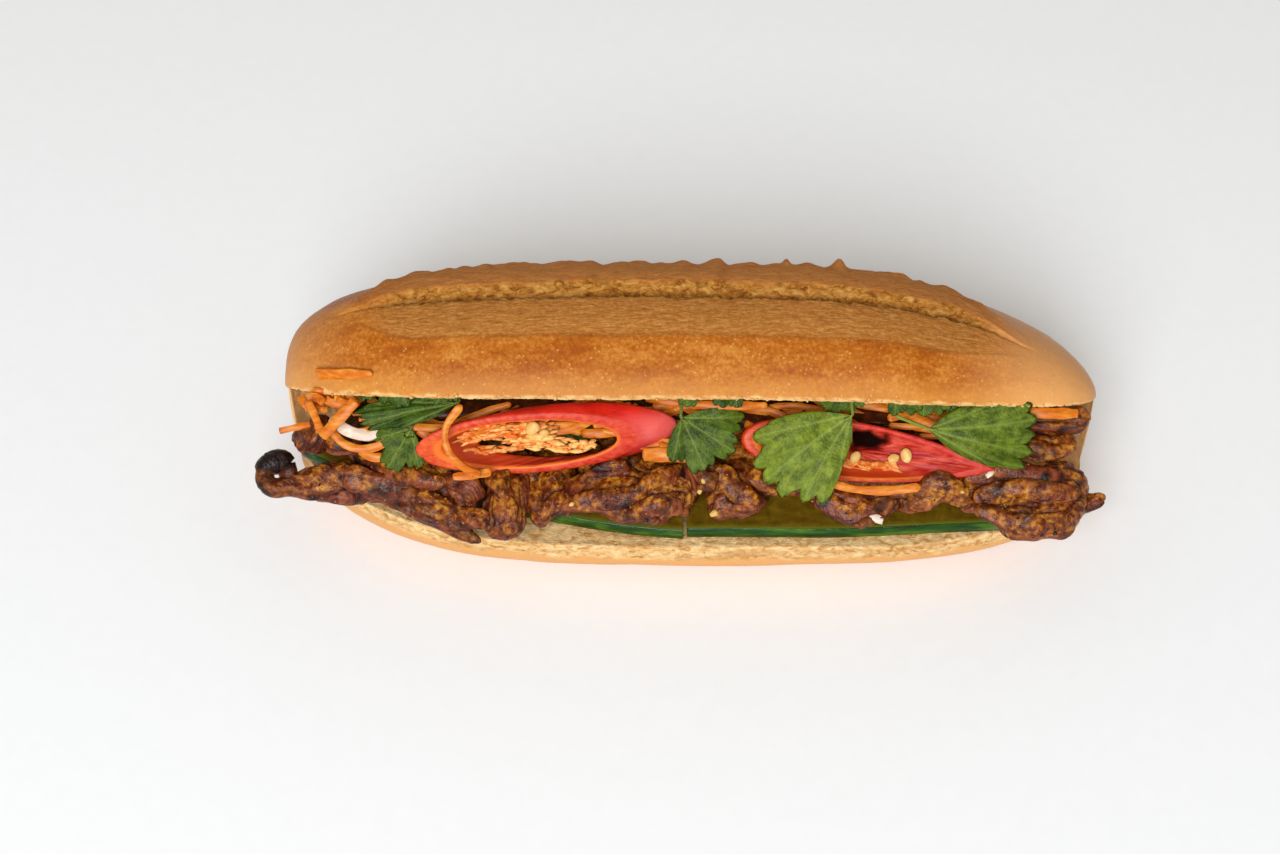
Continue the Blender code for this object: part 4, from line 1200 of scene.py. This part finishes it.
        # Each seed: face, (x, y, depth) in mm, turn, size as a share
        spots = (
            (on_ring, (-3.6, 5.6, -0.4), 0.9, 1.15), (on_ring, (-0.6, 3.4, 0.2), 0.2, 0.7),
            (on_tip, (10.6, 0.8, 1.0), 1.7, 1.1), (on_tip, (7.2, -0.6, 1.4), 0.3, 0.9), (on_tip, (-3.6, -1.6, 1.2), 0.9, 1.0),
        )
        for index, (on_face, spot, turn, share) in enumerate(spots):
            flat = FRONT_FACE.to_track_quat("Z", "Y").to_matrix().to_4x4()
            wide = Matrix.Diagonal((2.0 * share * MM, 1.55 * share * MM, 0.6 * MM, 1.0))
            tilt = Matrix.Rotation(0.3 * math.sin(index * 2.0), 4, "X")
            clay.blob(Matrix.Translation(on_face(*spot)) @ flat @ Matrix.Rotation(turn, 4, "Z") @ tilt @ wide, index, 0.22)
        clay.piece("chilli_seeds", seeds, Slot.CHILLI)


@dataclass(frozen=True)
class ChilliFinish:
    """Fresh chilli: glossy red skin with a painted highlight at the ring's right end, an orange-red cut face, and a
    ribbed inside with a painted shadow in the tip's hollow.
    """

    skin: Colour = tint(206, 26, 16)
    skin_dark: Colour = tint(180, 12, 9)
    # Painted highlight: pale pink for the skin at the ring's right end.
    skin_pale: Colour = tint(226, 96, 88)
    cut: Colour = tint(188, 44, 14)
    cut_light: Colour = tint(222, 104, 44)
    cut_red: Colour = tint(182, 24, 16)
    cut_rosy: Colour = tint(206, 72, 52)
    inner: Colour = tint(176, 54, 12)
    inner_edge: Colour = tint(232, 118, 36)
    inner_red: Colour = tint(164, 18, 14)
    inner_pale: Colour = tint(214, 84, 60)
    # Painted shadow: near black for the deep hollow of the tip.
    hollow: Colour = tint(22, 8, 6)

    def make(self) -> bpy.types.Material:
        """The material."""
        graph = Graph("chilli")
        clouds = graph.noise(150, 3)
        red = graph.mark("red")
        streaks = graph.noise(1.0, 4, 0.65, at=graph.stretched(100.0, 620.0, 620.0))
        rays = graph.noise(1.0, 4, 0.65, at=graph.joined(graph.sum("MULTIPLY", graph.mark("turn"), 14.0), 0.0, 0.0))
        skin = graph.ramp(clouds, (0.35, self.skin_dark), (0.6, self.skin))
        # Painted highlight: the skin turns pale pink toward the ring's right end.
        skin = graph.mix(graph.sum("MULTIPLY", graph.mark("sheen"), 0.8), skin, self.skin_pale)
        fleshy = graph.sum("MULTIPLY_ADD", graph.noise(420, 4, 0.6), 0.5, graph.sum("MULTIPLY", rays, 0.5))
        cut = graph.ramp(fleshy, (0.40, self.cut), (0.62, self.cut_light))
        cut = graph.mix(red, cut, graph.ramp(fleshy, (0.42, self.cut_red), (0.64, self.cut_rosy)))
        inner = graph.ramp(streaks, (0.40, self.inner_red), (0.66, self.inner_pale))
        inner = graph.mix(red, self.inner, inner)
        colour = graph.mix(graph.mark("cut"), skin, cut)
        lip = graph.sum("MULTIPLY", graph.remap(graph.mark("inner"), 0.15, 0.4), graph.remap(red, 1.0, 0.8))
        colour = graph.mix(graph.sum("MULTIPLY", lip, 0.85), colour, self.inner_edge)
        colour = graph.mix(graph.remap(graph.mark("inner"), 0.6, 1.0), colour, inner)
        # Painted shadow: the tip's hollow is coloured near black.
        colour = graph.mix(graph.mark("hollow"), colour, self.hollow)
        open_side = graph.sum("MAXIMUM", graph.mark("cut"), graph.mark("inner"))
        gloss = graph.sum("SUBTRACT", graph.remap(open_side, 0.0, 1.0, 0.6, 0.25), graph.mark("hollow"), clamp=True)
        return graph.dress(
            Base_Color=colour, Roughness=graph.remap(open_side, 0.0, 1.0, 0.16, 0.42),
            Normal=graph.relief(graph.sum("ADD", streaks, fleshy), 0.0004, 0.5), Specular_IOR_Level=gloss)


@dataclass(frozen=True)
class PaleFinish:
    """A pale, moist vegetable stuff: membranes, seeds, onion and garlic."""

    name: str
    shade: Colour
    light: Colour
    scale: float = 500.0
    roughness: float = 0.35

    def make(self) -> bpy.types.Material:
        """The material."""
        graph = Graph(self.name)
        clouds = graph.noise(self.scale, 4, 0.6)
        toned = graph.sum("MULTIPLY_ADD", graph.mark("tone"), 0.3, graph.sum("SUBTRACT", clouds, 0.15))
        return graph.dress(
            Base_Color=graph.ramp(toned, (0.34, self.shade), (0.64, self.light)), Roughness=self.roughness,
            Normal=graph.relief(clouds, 0.0004, 0.6), Specular_IOR_Level=0.25)


# Shreds of carrot and onion


@dataclass(frozen=True)
class Shred:
    """A cut shred along a smooth curve.

    Its points are in mm, and its width and thickness too.
    """

    node: str
    points: tuple
    width: float
    thickness: float


@dataclass
class Shreds:
    """The carrot and onion shreds that lie clear of the heap, and the heap behind the chilli."""

    carrots: tuple = (
        Shred("carrot_shred_tip", ((-117.5, -16.4, 46), (-113, -15.6, 46.6), (-108.5, -14.6, 47)), 1.8, 1.4),
        Shred("carrot_shred_down", ((-108, -16, 58), (-106.6, -17, 53), (-105.2, -18.5, 48.5)), 2.2, 1.4),
        Shred("carrot_shred_cross", ((-94.5, -16.5, 59), (-99.2, -19.6, 55), (-104.5, -22.3, 50)), 3.0, 1.4),
        Shred("carrot_shred_arc", ((-103, -17, 48.5), (-99.4, -20, 45.2), (-94.4, -21.4, 44), (-89.9, -20.8, 44.2),
                                   (-85, -19.3, 46)), 2.2, 1.6),
        Shred("carrot_shred_low", ((-94.7, -19.4, 41), (-90.6, -21.2, 40.2), (-85.3, -20.6, 40.4)), 2.4, 1.6),
        Shred("carrot_shred_over_chilli", ((-64.5, -20.5, 61.5), (-69, -24.5, 56.5), (-68.4, -29, 52),
                                           (-64.4, -31.5, 48), (-59.5, -32, 45)), 2.2, 1.4),
        Shred("carrot_shred_flat", ((-67.5, -31, 43), (-62.8, -30.6, 43), (-56.6, -29, 43)), 2.4, 1.4),
        Shred("carrot_shred_middle", ((-14, -23, 43.4), (-9.5, -22.6, 43), (-3.3, -23, 42.6), (2.6, -23.4, 42)), 4.0, 1.6),
        Shred("carrot_shred_rim_middle", ((-0.4, -15, 55.6), (10.6, -15.4, 55.6), (21.3, -15, 55.2)), 2.4, 1.4),
        Shred("carrot_shred_rim_right", ((95.5, -15.5, 53), (102.5, -16, 53), (109.5, -15, 52)), 3.0, 1.8),
        Shred("carrot_shred_under_chilli", ((34.5, -31.5, 43.5), (44.6, -33.2, 40.6), (54.5, -33.6, 40),
                                            (64.5, -33, 41)), 2.4, 1.6),
    )
    onions: tuple = (
        Shred("onion_crescent", ((-103, -14.5, 49), (-97, -17.2, 46.6), (-91, -17.6, 46.2), (-82.5, -14.2, 48.4)), 3.4, 2.0),
        Shred("onion_strip", ((-104.5, -10, 52), (-100, -10.5, 51.5), (-95, -10, 52)), 2.2, 1.6),
    )
    # Where shreds lie packed, in mm: across, depth and height from and to, how they turn, how many
    packed: tuple = (
        ((-96, 82), (-16.5, -4.0), (44.5, 49.5), 0.45, 78),
        ((-110, -97), (-14.0, -9.0), (52.0, 57.5), 0.5, 12),
        ((-100, -84), (-14.0, -9.0), (45.0, 51.0), 0.5, 8),
        ((-17, 3), (-21.0, -18.0), (41.0, 46.0), 0.4, 6),
    )
    spans: int = 36

    def add(self, clay: Clay, spine: Sequence[Vector], width: float, thickness: float, seed: float,
            face: Vector = FRONT_FACE, taper: float = 1.0) -> None:
        """Adds a square-cut bar along a curve.

        Args:
            clay: the mesh that it is added to.
            spine: the curve's points, in metres.
            width: across the shred, in mm.
            thickness: through the shred, in mm.
            seed: makes each shred uneven in its own way.
            face: the way its broad side looks.
            taper: its width at its far end, as a share of the width at its start.
        """
        square = (-1.0, -0.9, 0.0, 0.9, 1.0, 1.0, 1.0, 0.9, 0.0, -0.9, -1.0, -1.0)
        lift = (0.8, 1.0, 1.0, 1.0, 0.8, 0.0, -0.8, -1.0, -1.0, -1.0, -0.8, 0.0)
        sides = len(square)

        def place(column: int, row: int) -> tuple:
            share = column / self.spans
            ahead = (spline_point(spine, share + 0.02) - spline_point(spine, share - 0.02)).normalized()
            side = ahead.cross(face)
            side = side.normalized() if side.length > 0.2 else ahead.cross(Vector((0.0, 0.74, 0.67))).normalized()
            up = side.cross(ahead)
            twist = 0.35 * noise.noise(Vector((seed, share * 2.0, 0.0)))
            side, up = side * math.cos(twist) + up * math.sin(twist), up * math.cos(twist) - side * math.sin(twist)
            closing = 0.35 + 0.65 * smoothstep(0.0, 0.05, min(share, 1.0 - share))
            uneven = (1.0 + 0.3 * noise.noise(Vector((seed * 3.0, share * 4.0, 1.0)))) * (1.0 + (taper - 1.0) * share)
            i = row % sides
            reach = side * square[i] * width * uneven + up * lift[i] * thickness
            return spline_point(spine, share) + reach * closing * MM / 2, share

        clay.wrap(self.spans, sides, place)

    def build_clear(self, carrot: bpy.types.Material, onion: bpy.types.Material) -> None:
        """The shreds that lie clear of the heap."""
        for shreds, finish, slot in ((self.carrots, carrot, Slot.CARROT), (self.onions, onion, Slot.ONION)):
            for index, shred in enumerate(shreds):
                clay = Clay("along")
                self.add(clay, mm_points(shred.points), shred.width, shred.thickness, index * 2.3)
                clay.raise_by(lambda vert: 0.07 * MM * noise.noise(vert.co / (1.2 * MM)))
                clay.piece(shred.node.replace("shred", "strip"), finish, slot, shred.node)

    def build_on_crust(self, roll: Roll, carrot: bpy.types.Material) -> None:
        """The flat shred that sticks to the crust."""
        lift, share = 1.1 * MM, 0.055
        spine = [roll.opened(roll.crown_point(along, share, lift), 1.0) for along in (-0.9, -0.83, -0.76)]
        clay = Clay("along")
        self.add(clay, spine, 4.8, 0.8, 4.0, Vector((0.0, -0.95, 0.3)), 0.35)
        clay.piece("carrot_strip_on_crust", carrot, Slot.CARROT, "carrot_shred_on_crust")

    def build_heap(self, core: bpy.types.Material, carrot: bpy.types.Material) -> None:
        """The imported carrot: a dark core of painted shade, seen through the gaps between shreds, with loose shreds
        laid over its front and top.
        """
        clay = soft_copy("carrot_heap", 1.0 * MM, "along")
        clay.raise_by(lambda vert: (0.5 * noise.noise(vert.co / (3.0 * MM)) - 1.1) * MM)
        clay.piece("carrot_heap_painted_shade", core, Slot.CARROT, "carrot_heap")
        rng = random.Random(11)
        clay = Clay("along")
        for (left, right), (near, far), (bottom, top), turning, count in self.packed:
            for index in range(count):
                y = rng.uniform(near, far)
                centre = Vector((rng.uniform(left, right), y, rng.uniform(bottom, top) - 0.12 * (y - near))) * MM
                half = rng.uniform(6, 12) * min(1.0, (right - left) / 30) * MM
                turn = rng.gauss(0.0, turning)
                ahead = Vector((math.cos(turn), 0.6 * math.sin(turn), rng.gauss(0.0, 0.3 * turning))) * half
                bow = Vector((0.0, rng.uniform(-2.5, 1.0), rng.uniform(-1.5, 1.5))) * MM
                points = [centre - ahead, centre - ahead * 0.4 + bow, centre + ahead * 0.4 + bow, centre + ahead]
                self.add(clay, points, rng.uniform(1.6, 2.6), rng.uniform(1.1, 1.6), index * 1.9)
        clay.piece("carrot_shreds_packed", carrot, Slot.CARROT)


@dataclass(frozen=True)
class CarrotFinish:
    """Moist pickled carrot: orange with paler and deeper streaks along the shred."""

    orange: Colour = tint(200, 108, 20)
    deep: Colour = tint(180, 84, 10)
    pale: Colour = tint(218, 144, 54)

    def make(self) -> bpy.types.Material:
        """The material."""
        graph = Graph("carrot")
        streaks = graph.noise(1.0, 4, 0.6, at=graph.stretched(160.0, 700.0, 700.0))
        colour = graph.ramp(streaks, (0.32, self.deep), (0.5, self.orange), (0.7, self.pale))
        return graph.dress(
            Base_Color=colour, Roughness=0.34, Normal=graph.relief(streaks, 0.0003, 0.5),
            Specular_IOR_Level=0.22)


# The coriander


@dataclass(frozen=True)
class Leaf:
    """A coriander leaf: where its stem and tip are, in mm, and how its blade is shaped."""

    node: str
    stem: tuple
    tip: tuple
    facing: tuple
    breadth: float
    lobes: tuple  # (angle from the middle, reach, half width) of each lobe
    tone: float = 0.5  # from dark green to light
    skew: float = 0.0
    curl: float = 0.12
    web: float = 0.5  # how far the blade is whole before it parts into lobes
    stalk: tuple = (0.0, 6.0, 3.0)  # how the stalk goes on from the stem's point, in mm


@dataclass
class Leaves:
    """Coriander leaves with lobed, toothed blades and branching veins."""

    marks: tuple = ("vein", "edge", "tone")
    columns: int = 230
    rows: int = 22
    leaves: tuple = (
        Leaf("coriander_leaf_front", (44.5, -23, 60), (18, -37, 47), (0.0, -0.7, 0.7), 1.0,
             ((-0.38, 0.86, 0.30), (0.04, 0.96, 0.29), (0.46, 0.84, 0.28), (0.78, 0.50, 0.2)), 0.95, -0.1, 0.14, 0.6),
        Leaf("coriander_leaf_right", (66, -24.5, 56), (97.5, -27, 50.5), (0.1, -0.6, 0.8), 0.9,
             ((-0.36, 0.72, 0.22), (-0.04, 0.95, 0.25), (0.30, 0.98, 0.25), (0.64, 0.78, 0.26)), 0.62, -0.1, 0.10, 0.6,
             (-9.0, 3.0, 2.0)),
        Leaf("coriander_leaf_middle", (-3, -18.5, 54), (10, -27.5, 46.5), (0.1, -0.8, 0.6), 1.0,
             ((-1.05, 0.75, 0.36), (-0.42, 0.95, 0.33), (0.16, 1.02, 0.30), (0.75, 1.0, 0.34)), 0.3, 0.0, 0.16, 0.4),
        Leaf("coriander_leaf_left", (-79.5, -18.5, 49.5), (-86.5, -26, 40.5), (-0.2, -0.8, 0.6), 1.0,
             ((-0.75, 0.85, 0.38), (0.0, 1.0, 0.36), (0.72, 0.85, 0.36)), 0.4, 0.0, 0.15, 0.45),
        Leaf("coriander_leaf_rim", (-66, -14, 55.5), (-97, -15.5, 53), (0.0, -0.5, 0.85), 0.8,
             ((-0.1, 1.0, 0.17), (0.16, 0.92, 0.15), (0.42, 0.7, 0.16)), 0.1, 0.0, 0.08, 0.5),
        Leaf("coriander_leaf_inside", (-42, -13.6, 43.2), (-25, -13.2, 44.2), (0.0, -0.8, 0.6), 0.8,
             ((-0.4, 0.9, 0.35), (0.2, 1.0, 0.35), (0.8, 0.7, 0.35)), 0.35, 0.0, 0.05, 0.5),
    )

    def edge(self, angle: float, leaf: Leaf) -> float:
        """Reach of the blade's edge from its stem at that angle, 1 at its tip."""
        first = leaf.lobes[0][0] - 1.1 * leaf.lobes[0][2]
        last = leaf.lobes[-1][0] + 1.1 * leaf.lobes[-1][2]
        base = 0.45 + 0.55 * smoothstep(0.0, 0.3, min(angle - first, last - angle))
        reach = leaf.web * 0.9
        for centre, length, half in leaf.lobes:
            aside = abs(angle - centre) / half
            if aside < 1.25:
                round_end = max(0.0, 1.0 - (aside / 1.25) ** 3.2) ** 0.5
                teeth = abs(math.cos(1.5 * math.pi * min(aside, 1.0))) ** 0.6
                reach = max(reach, length * (leaf.web + (1.0 - leaf.web) * round_end) * (0.9 + 0.1 * teeth))
        return reach * base * (1.0 + 0.05 * noise.noise(Vector((angle * 6.0, leaf.tone * 9.0, 0.0))))

    def vein(self, angle: float, share: float, leaf: Leaf) -> float:
        """How close a point of the blade is to a vein, from 0 to 1."""
        found = 0.0
        for centre, _, half in leaf.lobes:
            width = 0.016 / max(share, 0.12)
            found = max(found, bump_at(angle, centre * (1.0 - 0.1 * (1.0 - share)), width) * (1.0 - 0.5 * share))
            for start, way in ((0.3, 1.0), (0.36, -1.0), (0.55, 1.0), (0.6, -1.0)):
                if share > start:
                    line = centre + way * half * (0.72 if start < 0.5 else 0.3) * (share - start) / (1.0 - start)
                    found = max(found, 0.55 * bump_at(angle, line, width * 0.6) * (1.0 - 0.5 * share))
        return found

    def add_blade(self, clay: Clay, leaf: Leaf) -> None:
        """Adds a leaf's blade: an upper and a lower side that meet in a thin edge."""
        stem, tip = mm_points((leaf.stem, leaf.tip))
        length = (tip - stem).length
        forward = (tip - stem).normalized()
        sideways = Vector(leaf.facing).cross(forward).normalized()
        upward = forward.cross(sideways)
        first = leaf.lobes[0][0] - 1.1 * leaf.lobes[0][2]
        last = leaf.lobes[-1][0] + 1.1 * leaf.lobes[-1][2]
        seed = leaf.tone * 17.0

        def place(column: int, row: int) -> tuple:
            across = column / self.columns
            angle = first + (last - first) * across
            side = 1.0 if row <= self.rows else -1.0
            share = (row if row <= self.rows else 2 * self.rows - row) / self.rows
            reach = share * self.edge(angle, leaf)
            x = reach * math.cos(angle)
            y = reach * math.sin(angle) * leaf.breadth + leaf.skew * x * (1 - x)
            vein = self.vein(angle, share, leaf)
            thin = (1.0 - share**8) * (1.0 - abs(2.0 * across - 1.0) ** 10)
            ruffle = 0.045 * share**3 * math.sin(angle * 7.0 + seed)
            ruffle += 0.05 * noise.noise(Vector((x * 2.4, y * 2.4, seed)))
            lobe = min(abs(angle - centre) / half for centre, _, half in leaf.lobes)
            cup = 0.03 * share * (min(lobe, 1.0) ** 2 - 0.4)
            puff = 0.016 * share * noise.noise(Vector((x * 9.0, y * 9.0, seed))) * (1.0 - vein)
            bend = -leaf.curl * ((x - 0.4) ** 2 + y * y) + ruffle + cup + puff
            rise = (side * 0.13 * thin - 0.12 * vein * thin) * MM
            point = stem + (forward * x + sideways * y) * length + upward * (bend * length + rise)
            return point, vein * (0.5 + 0.5 * side), share, leaf.tone

        clay.wrap(self.columns, 2 * self.rows, place)

    def add_stalk(self, clay: Clay, points: Sequence[Vector], radius: float, tone: float) -> None:
        """Adds a round stalk along a curve."""
        sides, spans = 10, 24

        def place(column: int, row: int) -> tuple:
            share = column / spans
            ahead = (spline_point(points, share + 0.02) - spline_point(points, share - 0.02)).normalized()
            side = ahead.orthogonal().normalized()
            up = ahead.cross(side)
            angle = 2 * math.pi * (row % sides) / sides
            reach = (side * math.cos(angle) + up * math.sin(angle)) * radius * (1.0 - 0.35 * share)
            return spline_point(points, share) + reach, 0.8, 0.0, tone

        clay.wrap(spans, sides, place)

    def build(self, finish: bpy.types.Material) -> None:
        """Models and dresses the leaves."""
        for leaf in self.leaves:
            clay = Clay(*self.marks)
            self.add_blade(clay, leaf)
            stem, on = Vector(leaf.stem) * MM, Vector(leaf.stalk) * MM
            forward = (Vector(leaf.tip) * MM - stem).normalized()
            route = [stem + on, stem + on * 0.4, stem, stem + forward * 2.5 * MM]
            self.add_stalk(clay, route, 0.55 * MM, leaf.tone)
            clay.piece(leaf.node.replace("leaf", "sprig"), finish, Slot.CORIANDER, leaf.node)

    def build_scraps(self, roll: Roll, finish: bpy.types.Material) -> None:
        """Small dark leaves tucked in under the rim of the upper half."""
        clay = Clay(*self.marks)
        rng = random.Random(5)
        for along in (-0.80, -0.73, -0.66, -0.58, 0.02, 0.09, 0.36, 0.42, 0.49, 0.56, 0.63, 0.70, 0.76):
            rim = roll.opened(roll.crown_point(along, 0.0), 1.0) / MM
            stem = rim + Vector((rng.uniform(-3, 3), 7.0, 1.5))
            tip = rim + Vector((rng.uniform(-7, 7), 1.5, rng.uniform(-5.5, -3.0)))
            lobes = ((-0.7, 0.85, 0.4), (0.0, 1.0, 0.38), (0.7, 0.85, 0.38))
            self.add_blade(clay, Leaf("", tuple(stem), tuple(tip), (0.0, -0.8, 0.6), 1.1, lobes, rng.uniform(0.0, 0.3)))
        clay.piece("coriander_scraps", finish, Slot.CORIANDER)


@dataclass(frozen=True)
class LeafFinish:
    """Fresh coriander: mid green, lighter along its veins, slightly glossy and see-through."""

    dark: Colour = tint(18, 44, 2)
    dark_light: Colour = tint(50, 80, 6)
    pale: Colour = tint(66, 82, 8)
    pale_light: Colour = tint(122, 136, 36)
    vein: Colour = tint(152, 166, 74)

    def make(self) -> bpy.types.Material:
        """The material."""
        graph = Graph("coriander")
        clouds = graph.noise(300, 5, 0.65)
        dark = graph.ramp(clouds, (0.36, self.dark), (0.66, self.dark_light))
        light = graph.ramp(clouds, (0.36, self.pale), (0.66, self.pale_light))
        blade = graph.mix(graph.mark("tone"), dark, light)
        colour = graph.mix(graph.sum("MULTIPLY", graph.mark("vein"), 0.4), blade, self.vein)
        fine = graph.cells(1300)
        return graph.dress(
            Base_Color=colour, Roughness=0.45, Normal=graph.relief(graph.sum("ADD", fine, clouds), 0.0003, 0.6),
            Specular_IOR_Level=0.16)


# Small bits


@dataclass
class Bits:
    """Garlic, onion bits and crumbs that stick to the meat, and crumbs along the torn rim."""

    specks: int = 420
    flakes: int = 110

    def build(self, meat: Cover, roll: Roll) -> None:
        """Models and dresses them."""
        gold = PaleFinish("fried_garlic", tint(150, 84, 18), tint(212, 148, 62), 900.0, 0.3).make()
        toast = PaleFinish("brown_crumb", tint(104, 50, 12), tint(166, 100, 36), 800.0, 0.4).make()
        white = PaleFinish("onion_bit", tint(222, 206, 186), tint(240, 232, 218), 500.0, 0.3).make()
        pale = PaleFinish("garlic", tint(206, 162, 80), tint(230, 198, 130), 700.0, 0.3).make()
        dark = PaleFinish("burnt_crumb", tint(40, 16, 6), tint(96, 46, 18), 900.0, 0.4).make()
        crumb = PaleFinish("crumb", tint(206, 154, 84), tint(238, 206, 146), 900.0, 0.8).make()
        self.add_specks(meat, "garlic_specks", gold, 1)
        self.add_specks(meat, "burnt_specks", dark, 2)
        # (across, up) as the open side shows it, half sizes and turn, in mm and radians
        lumps = (
            ("garlic_bits", pale, ((4.3, -4.8, 1.4, 0.9, 0.3), (2.3, -2.2, 0.9, 0.7, 1.0), (3.2, 4.6, 0.8, 0.6, 2.0),
                                   (-34.0, -2.0, 0.8, 0.6, 0.5), (76.5, 1.5, 0.6, 0.5, 0.4))),
            ("brown_bits", toast, ((49.8, -9.0, 2.2, 1.3, 0.7), (51.5, -7.9, 1.6, 1.1, 2.2), (56.4, -8.2, 1.7, 1.0, 0.2),
                                   (47.5, -10.6, 1.3, 0.8, 0.1), (0.8, 1.4, 1.4, 1.0, 1.2), (2.6, 3.0, 1.3, 0.9, 0.3))),
            ("onion_bits", white, ((52.7, -6.3, 2.6, 1.2, -0.25), (84.8, 6.5, 1.4, 0.9, 0.6))),
            ("black_bits", dark, ((103.6, -12.4, 0.8, 0.6, 0.3), (99.0, -10.8, 0.6, 0.4, 0.3))),
        )
        for name, finish, places in lumps:
            clay = Clay("along")
            for index, (across, up, long, short, turn) in enumerate(places):
                flat = FRONT_FACE.to_track_quat("Z", "Y").to_matrix().to_4x4()
                size = Matrix.Diagonal((long * MM, short * MM, 0.7 * short * MM, 1.0))
                lift = Matrix.Translation(meat.spot(across, up) + FRONT_FACE * 0.3 * MM)
                clay.blob(lift @ flat @ Matrix.Rotation(turn, 4, "Z") @ size, index * 3.3, 0.5)
            clay.piece(name, finish, Slot.MEAT)
        self.add_flakes(roll, crumb)

    def add_specks(self, meat: Cover, name: str, finish: bpy.types.Material, seed: int) -> None:
        """Scatters grains over the meat."""
        rng = random.Random(seed)
        clay = Clay("along")
        for index in range(self.specks // seed):
            found = meat.hit(rng.uniform(-112, 112), rng.uniform(-13, 10))
            if found is None:
                continue
            size = 0.18 + 0.42 * rng.random() ** 2.5
            turn = Matrix.Rotation(rng.uniform(0, 6.3), 4, (rng.uniform(-1, 1), rng.uniform(-1, 1), 0.5))
            stretch = Matrix.Diagonal((size * MM, 0.7 * size * MM, 0.5 * size * MM, 1.0))
            clay.blob(Matrix.Translation(found) @ turn @ stretch, index * 0.7, 0.5)
        clay.piece(name, finish, Slot.MEAT)

    def add_flakes(self, roll: Roll, finish: bpy.types.Material) -> None:
        """Scatters torn crumbs along the rim of the upper half."""
        rng = random.Random(3)
        clay = Clay("along")
        for index in range(self.flakes):
            along = rng.uniform(-0.9, 0.93)
            point = roll.opened(roll.crown_point(along, rng.uniform(0.0, 0.006), rng.uniform(-0.1, 0.3) * MM), 1.0)
            size = 0.2 + 0.45 * rng.random() ** 2
            turn = Matrix.Rotation(rng.uniform(0, 6.3), 4, (rng.uniform(-1, 1), rng.uniform(-1, 1), 0.5))
            stretch = Matrix.Diagonal((size * MM, 0.8 * size * MM, 0.5 * size * MM, 1.0))
            clay.blob(Matrix.Translation(point) @ turn @ stretch, index * 0.9, 0.6)
        clay.piece("rim_crumbs", finish, Slot.CRUST)




# The studio


@dataclass
class Studio:
    """A pale floor, soft light from the open side of the sandwich, and the camera."""

    camera_place: tuple = (-0.01468, -0.49006, 0.5738)
    camera_drop: float = math.radians(48.0)  # how far below the horizon it looks
    lens: float = 70.0
    floor_colour: Colour = tint(245, 247, 248)
    floor_size: float = 6.0

    def add_floor(self) -> None:
        """The plain pale floor that the sandwich stands on."""
        bm = bmesh.new()
        bmesh.ops.create_grid(bm, x_segments=4, y_segments=4, size=self.floor_size / 2)
        mesh = bpy.data.meshes.new("floor")
        bm.to_mesh(mesh)
        bm.free()
        graph = Graph("floor")
        grain = graph.noise(160, 3)
        mesh.materials.append(graph.dress(
            Base_Color=graph.ramp(grain, (0.0, self.floor_colour), (1.0, tint(241, 243, 244))), Roughness=0.6,
            Specular_IOR_Level=0.25))
        floor = bpy.data.objects.new("floor", mesh)
        bpy.context.scene.collection.objects.link(floor)

    def add_light(self, name: str, place: tuple, size: float, energy: float, colour: Colour) -> None:
        """A square soft light that looks at the sandwich.

        Args:
            name: name of the light.
            place: where it hangs, in metres.
            size: length of its sides, in metres.
            energy: its power, in watts.
            colour: its colour.
        """
        light = bpy.data.lights.new(name, "AREA")
        light.size, light.energy, light.color = size, energy, colour
        lamp = bpy.data.objects.new(name, light)
        lamp.location = place
        lamp.rotation_euler = (Vector((0.0, 0.0, 0.03)) - Vector(place)).to_track_quat("-Z", "Y").to_euler()
        bpy.context.scene.collection.objects.link(lamp)

    def add_camera(self) -> None:
        """The camera, above the open side and looking down at it."""
        camera = bpy.data.cameras.new("camera")
        camera.lens = self.lens
        camera.sensor_width = 36.0
        camera.clip_start = 0.01
        holder = bpy.data.objects.new("camera", camera)
        holder.location = self.camera_place
        holder.rotation_euler = (math.pi / 2 - self.camera_drop, 0.0, 0.0)
        bpy.context.scene.collection.objects.link(holder)
        bpy.context.scene.camera = holder

    def build(self) -> None:
        """Sets up the floor, the lights, the surroundings and the camera."""
        self.add_floor()
        self.add_light("window", (-0.35, -1.75, 1.35), 1.1, 52.0, (0.965, 1.0, 1.05))
        world = bpy.data.worlds.new("surroundings")
        bpy.context.scene.world = world
        world.use_nodes = True
        world.node_tree.nodes["Background"].inputs["Color"].default_value = (1.0, 0.93, 0.84, 1.0)
        world.node_tree.nodes["Background"].inputs["Strength"].default_value = 0.44
        bpy.context.scene.view_settings.view_transform = "Standard"
        self.add_camera()


def main() -> None:
    """Builds the dressed sandwich and its studio."""
    logging.basicConfig(level=logging.INFO, format="%(message)s")
    Studio().build()
    roll = Roll()
    roll.build(CrustFinish().make())
    Cucumber().build(roll, CucumberFinish().make())
    meats = Meat().build(MeatFinish().make())
    membrane = PaleFinish("membrane", tint(210, 102, 24), tint(240, 184, 104))
    seed = PaleFinish("seed", tint(214, 164, 88), tint(234, 204, 140))
    chilli = Chilli()
    finish = ChilliFinish().make()
    chilli.build_ring(finish)
    chilli.build_tip(finish)
    chilli.build_inside(membrane.make(), seed.make())
    carrot = CarrotFinish().make()
    onion = PaleFinish("onion", tint(214, 188, 164), tint(238, 222, 206), 300.0).make()
    # Painted shade: the heap's core is dark brown, standing in for the shade between the shreds.
    core = PaleFinish("carrot_heap_painted_shade", tint(60, 26, 8), tint(120, 56, 18)).make()
    shreds = Shreds()
    shreds.build_clear(carrot, onion)
    shreds.build_on_crust(roll, carrot)
    shreds.build_heap(core, carrot)
    leaves = Leaves()
    leaf_finish = LeafFinish().make()
    leaves.build(leaf_finish)
    leaves.build_scraps(roll, leaf_finish)
    Bits().build(Cover(meats), roll)


if __name__ == "__main__":
    main()
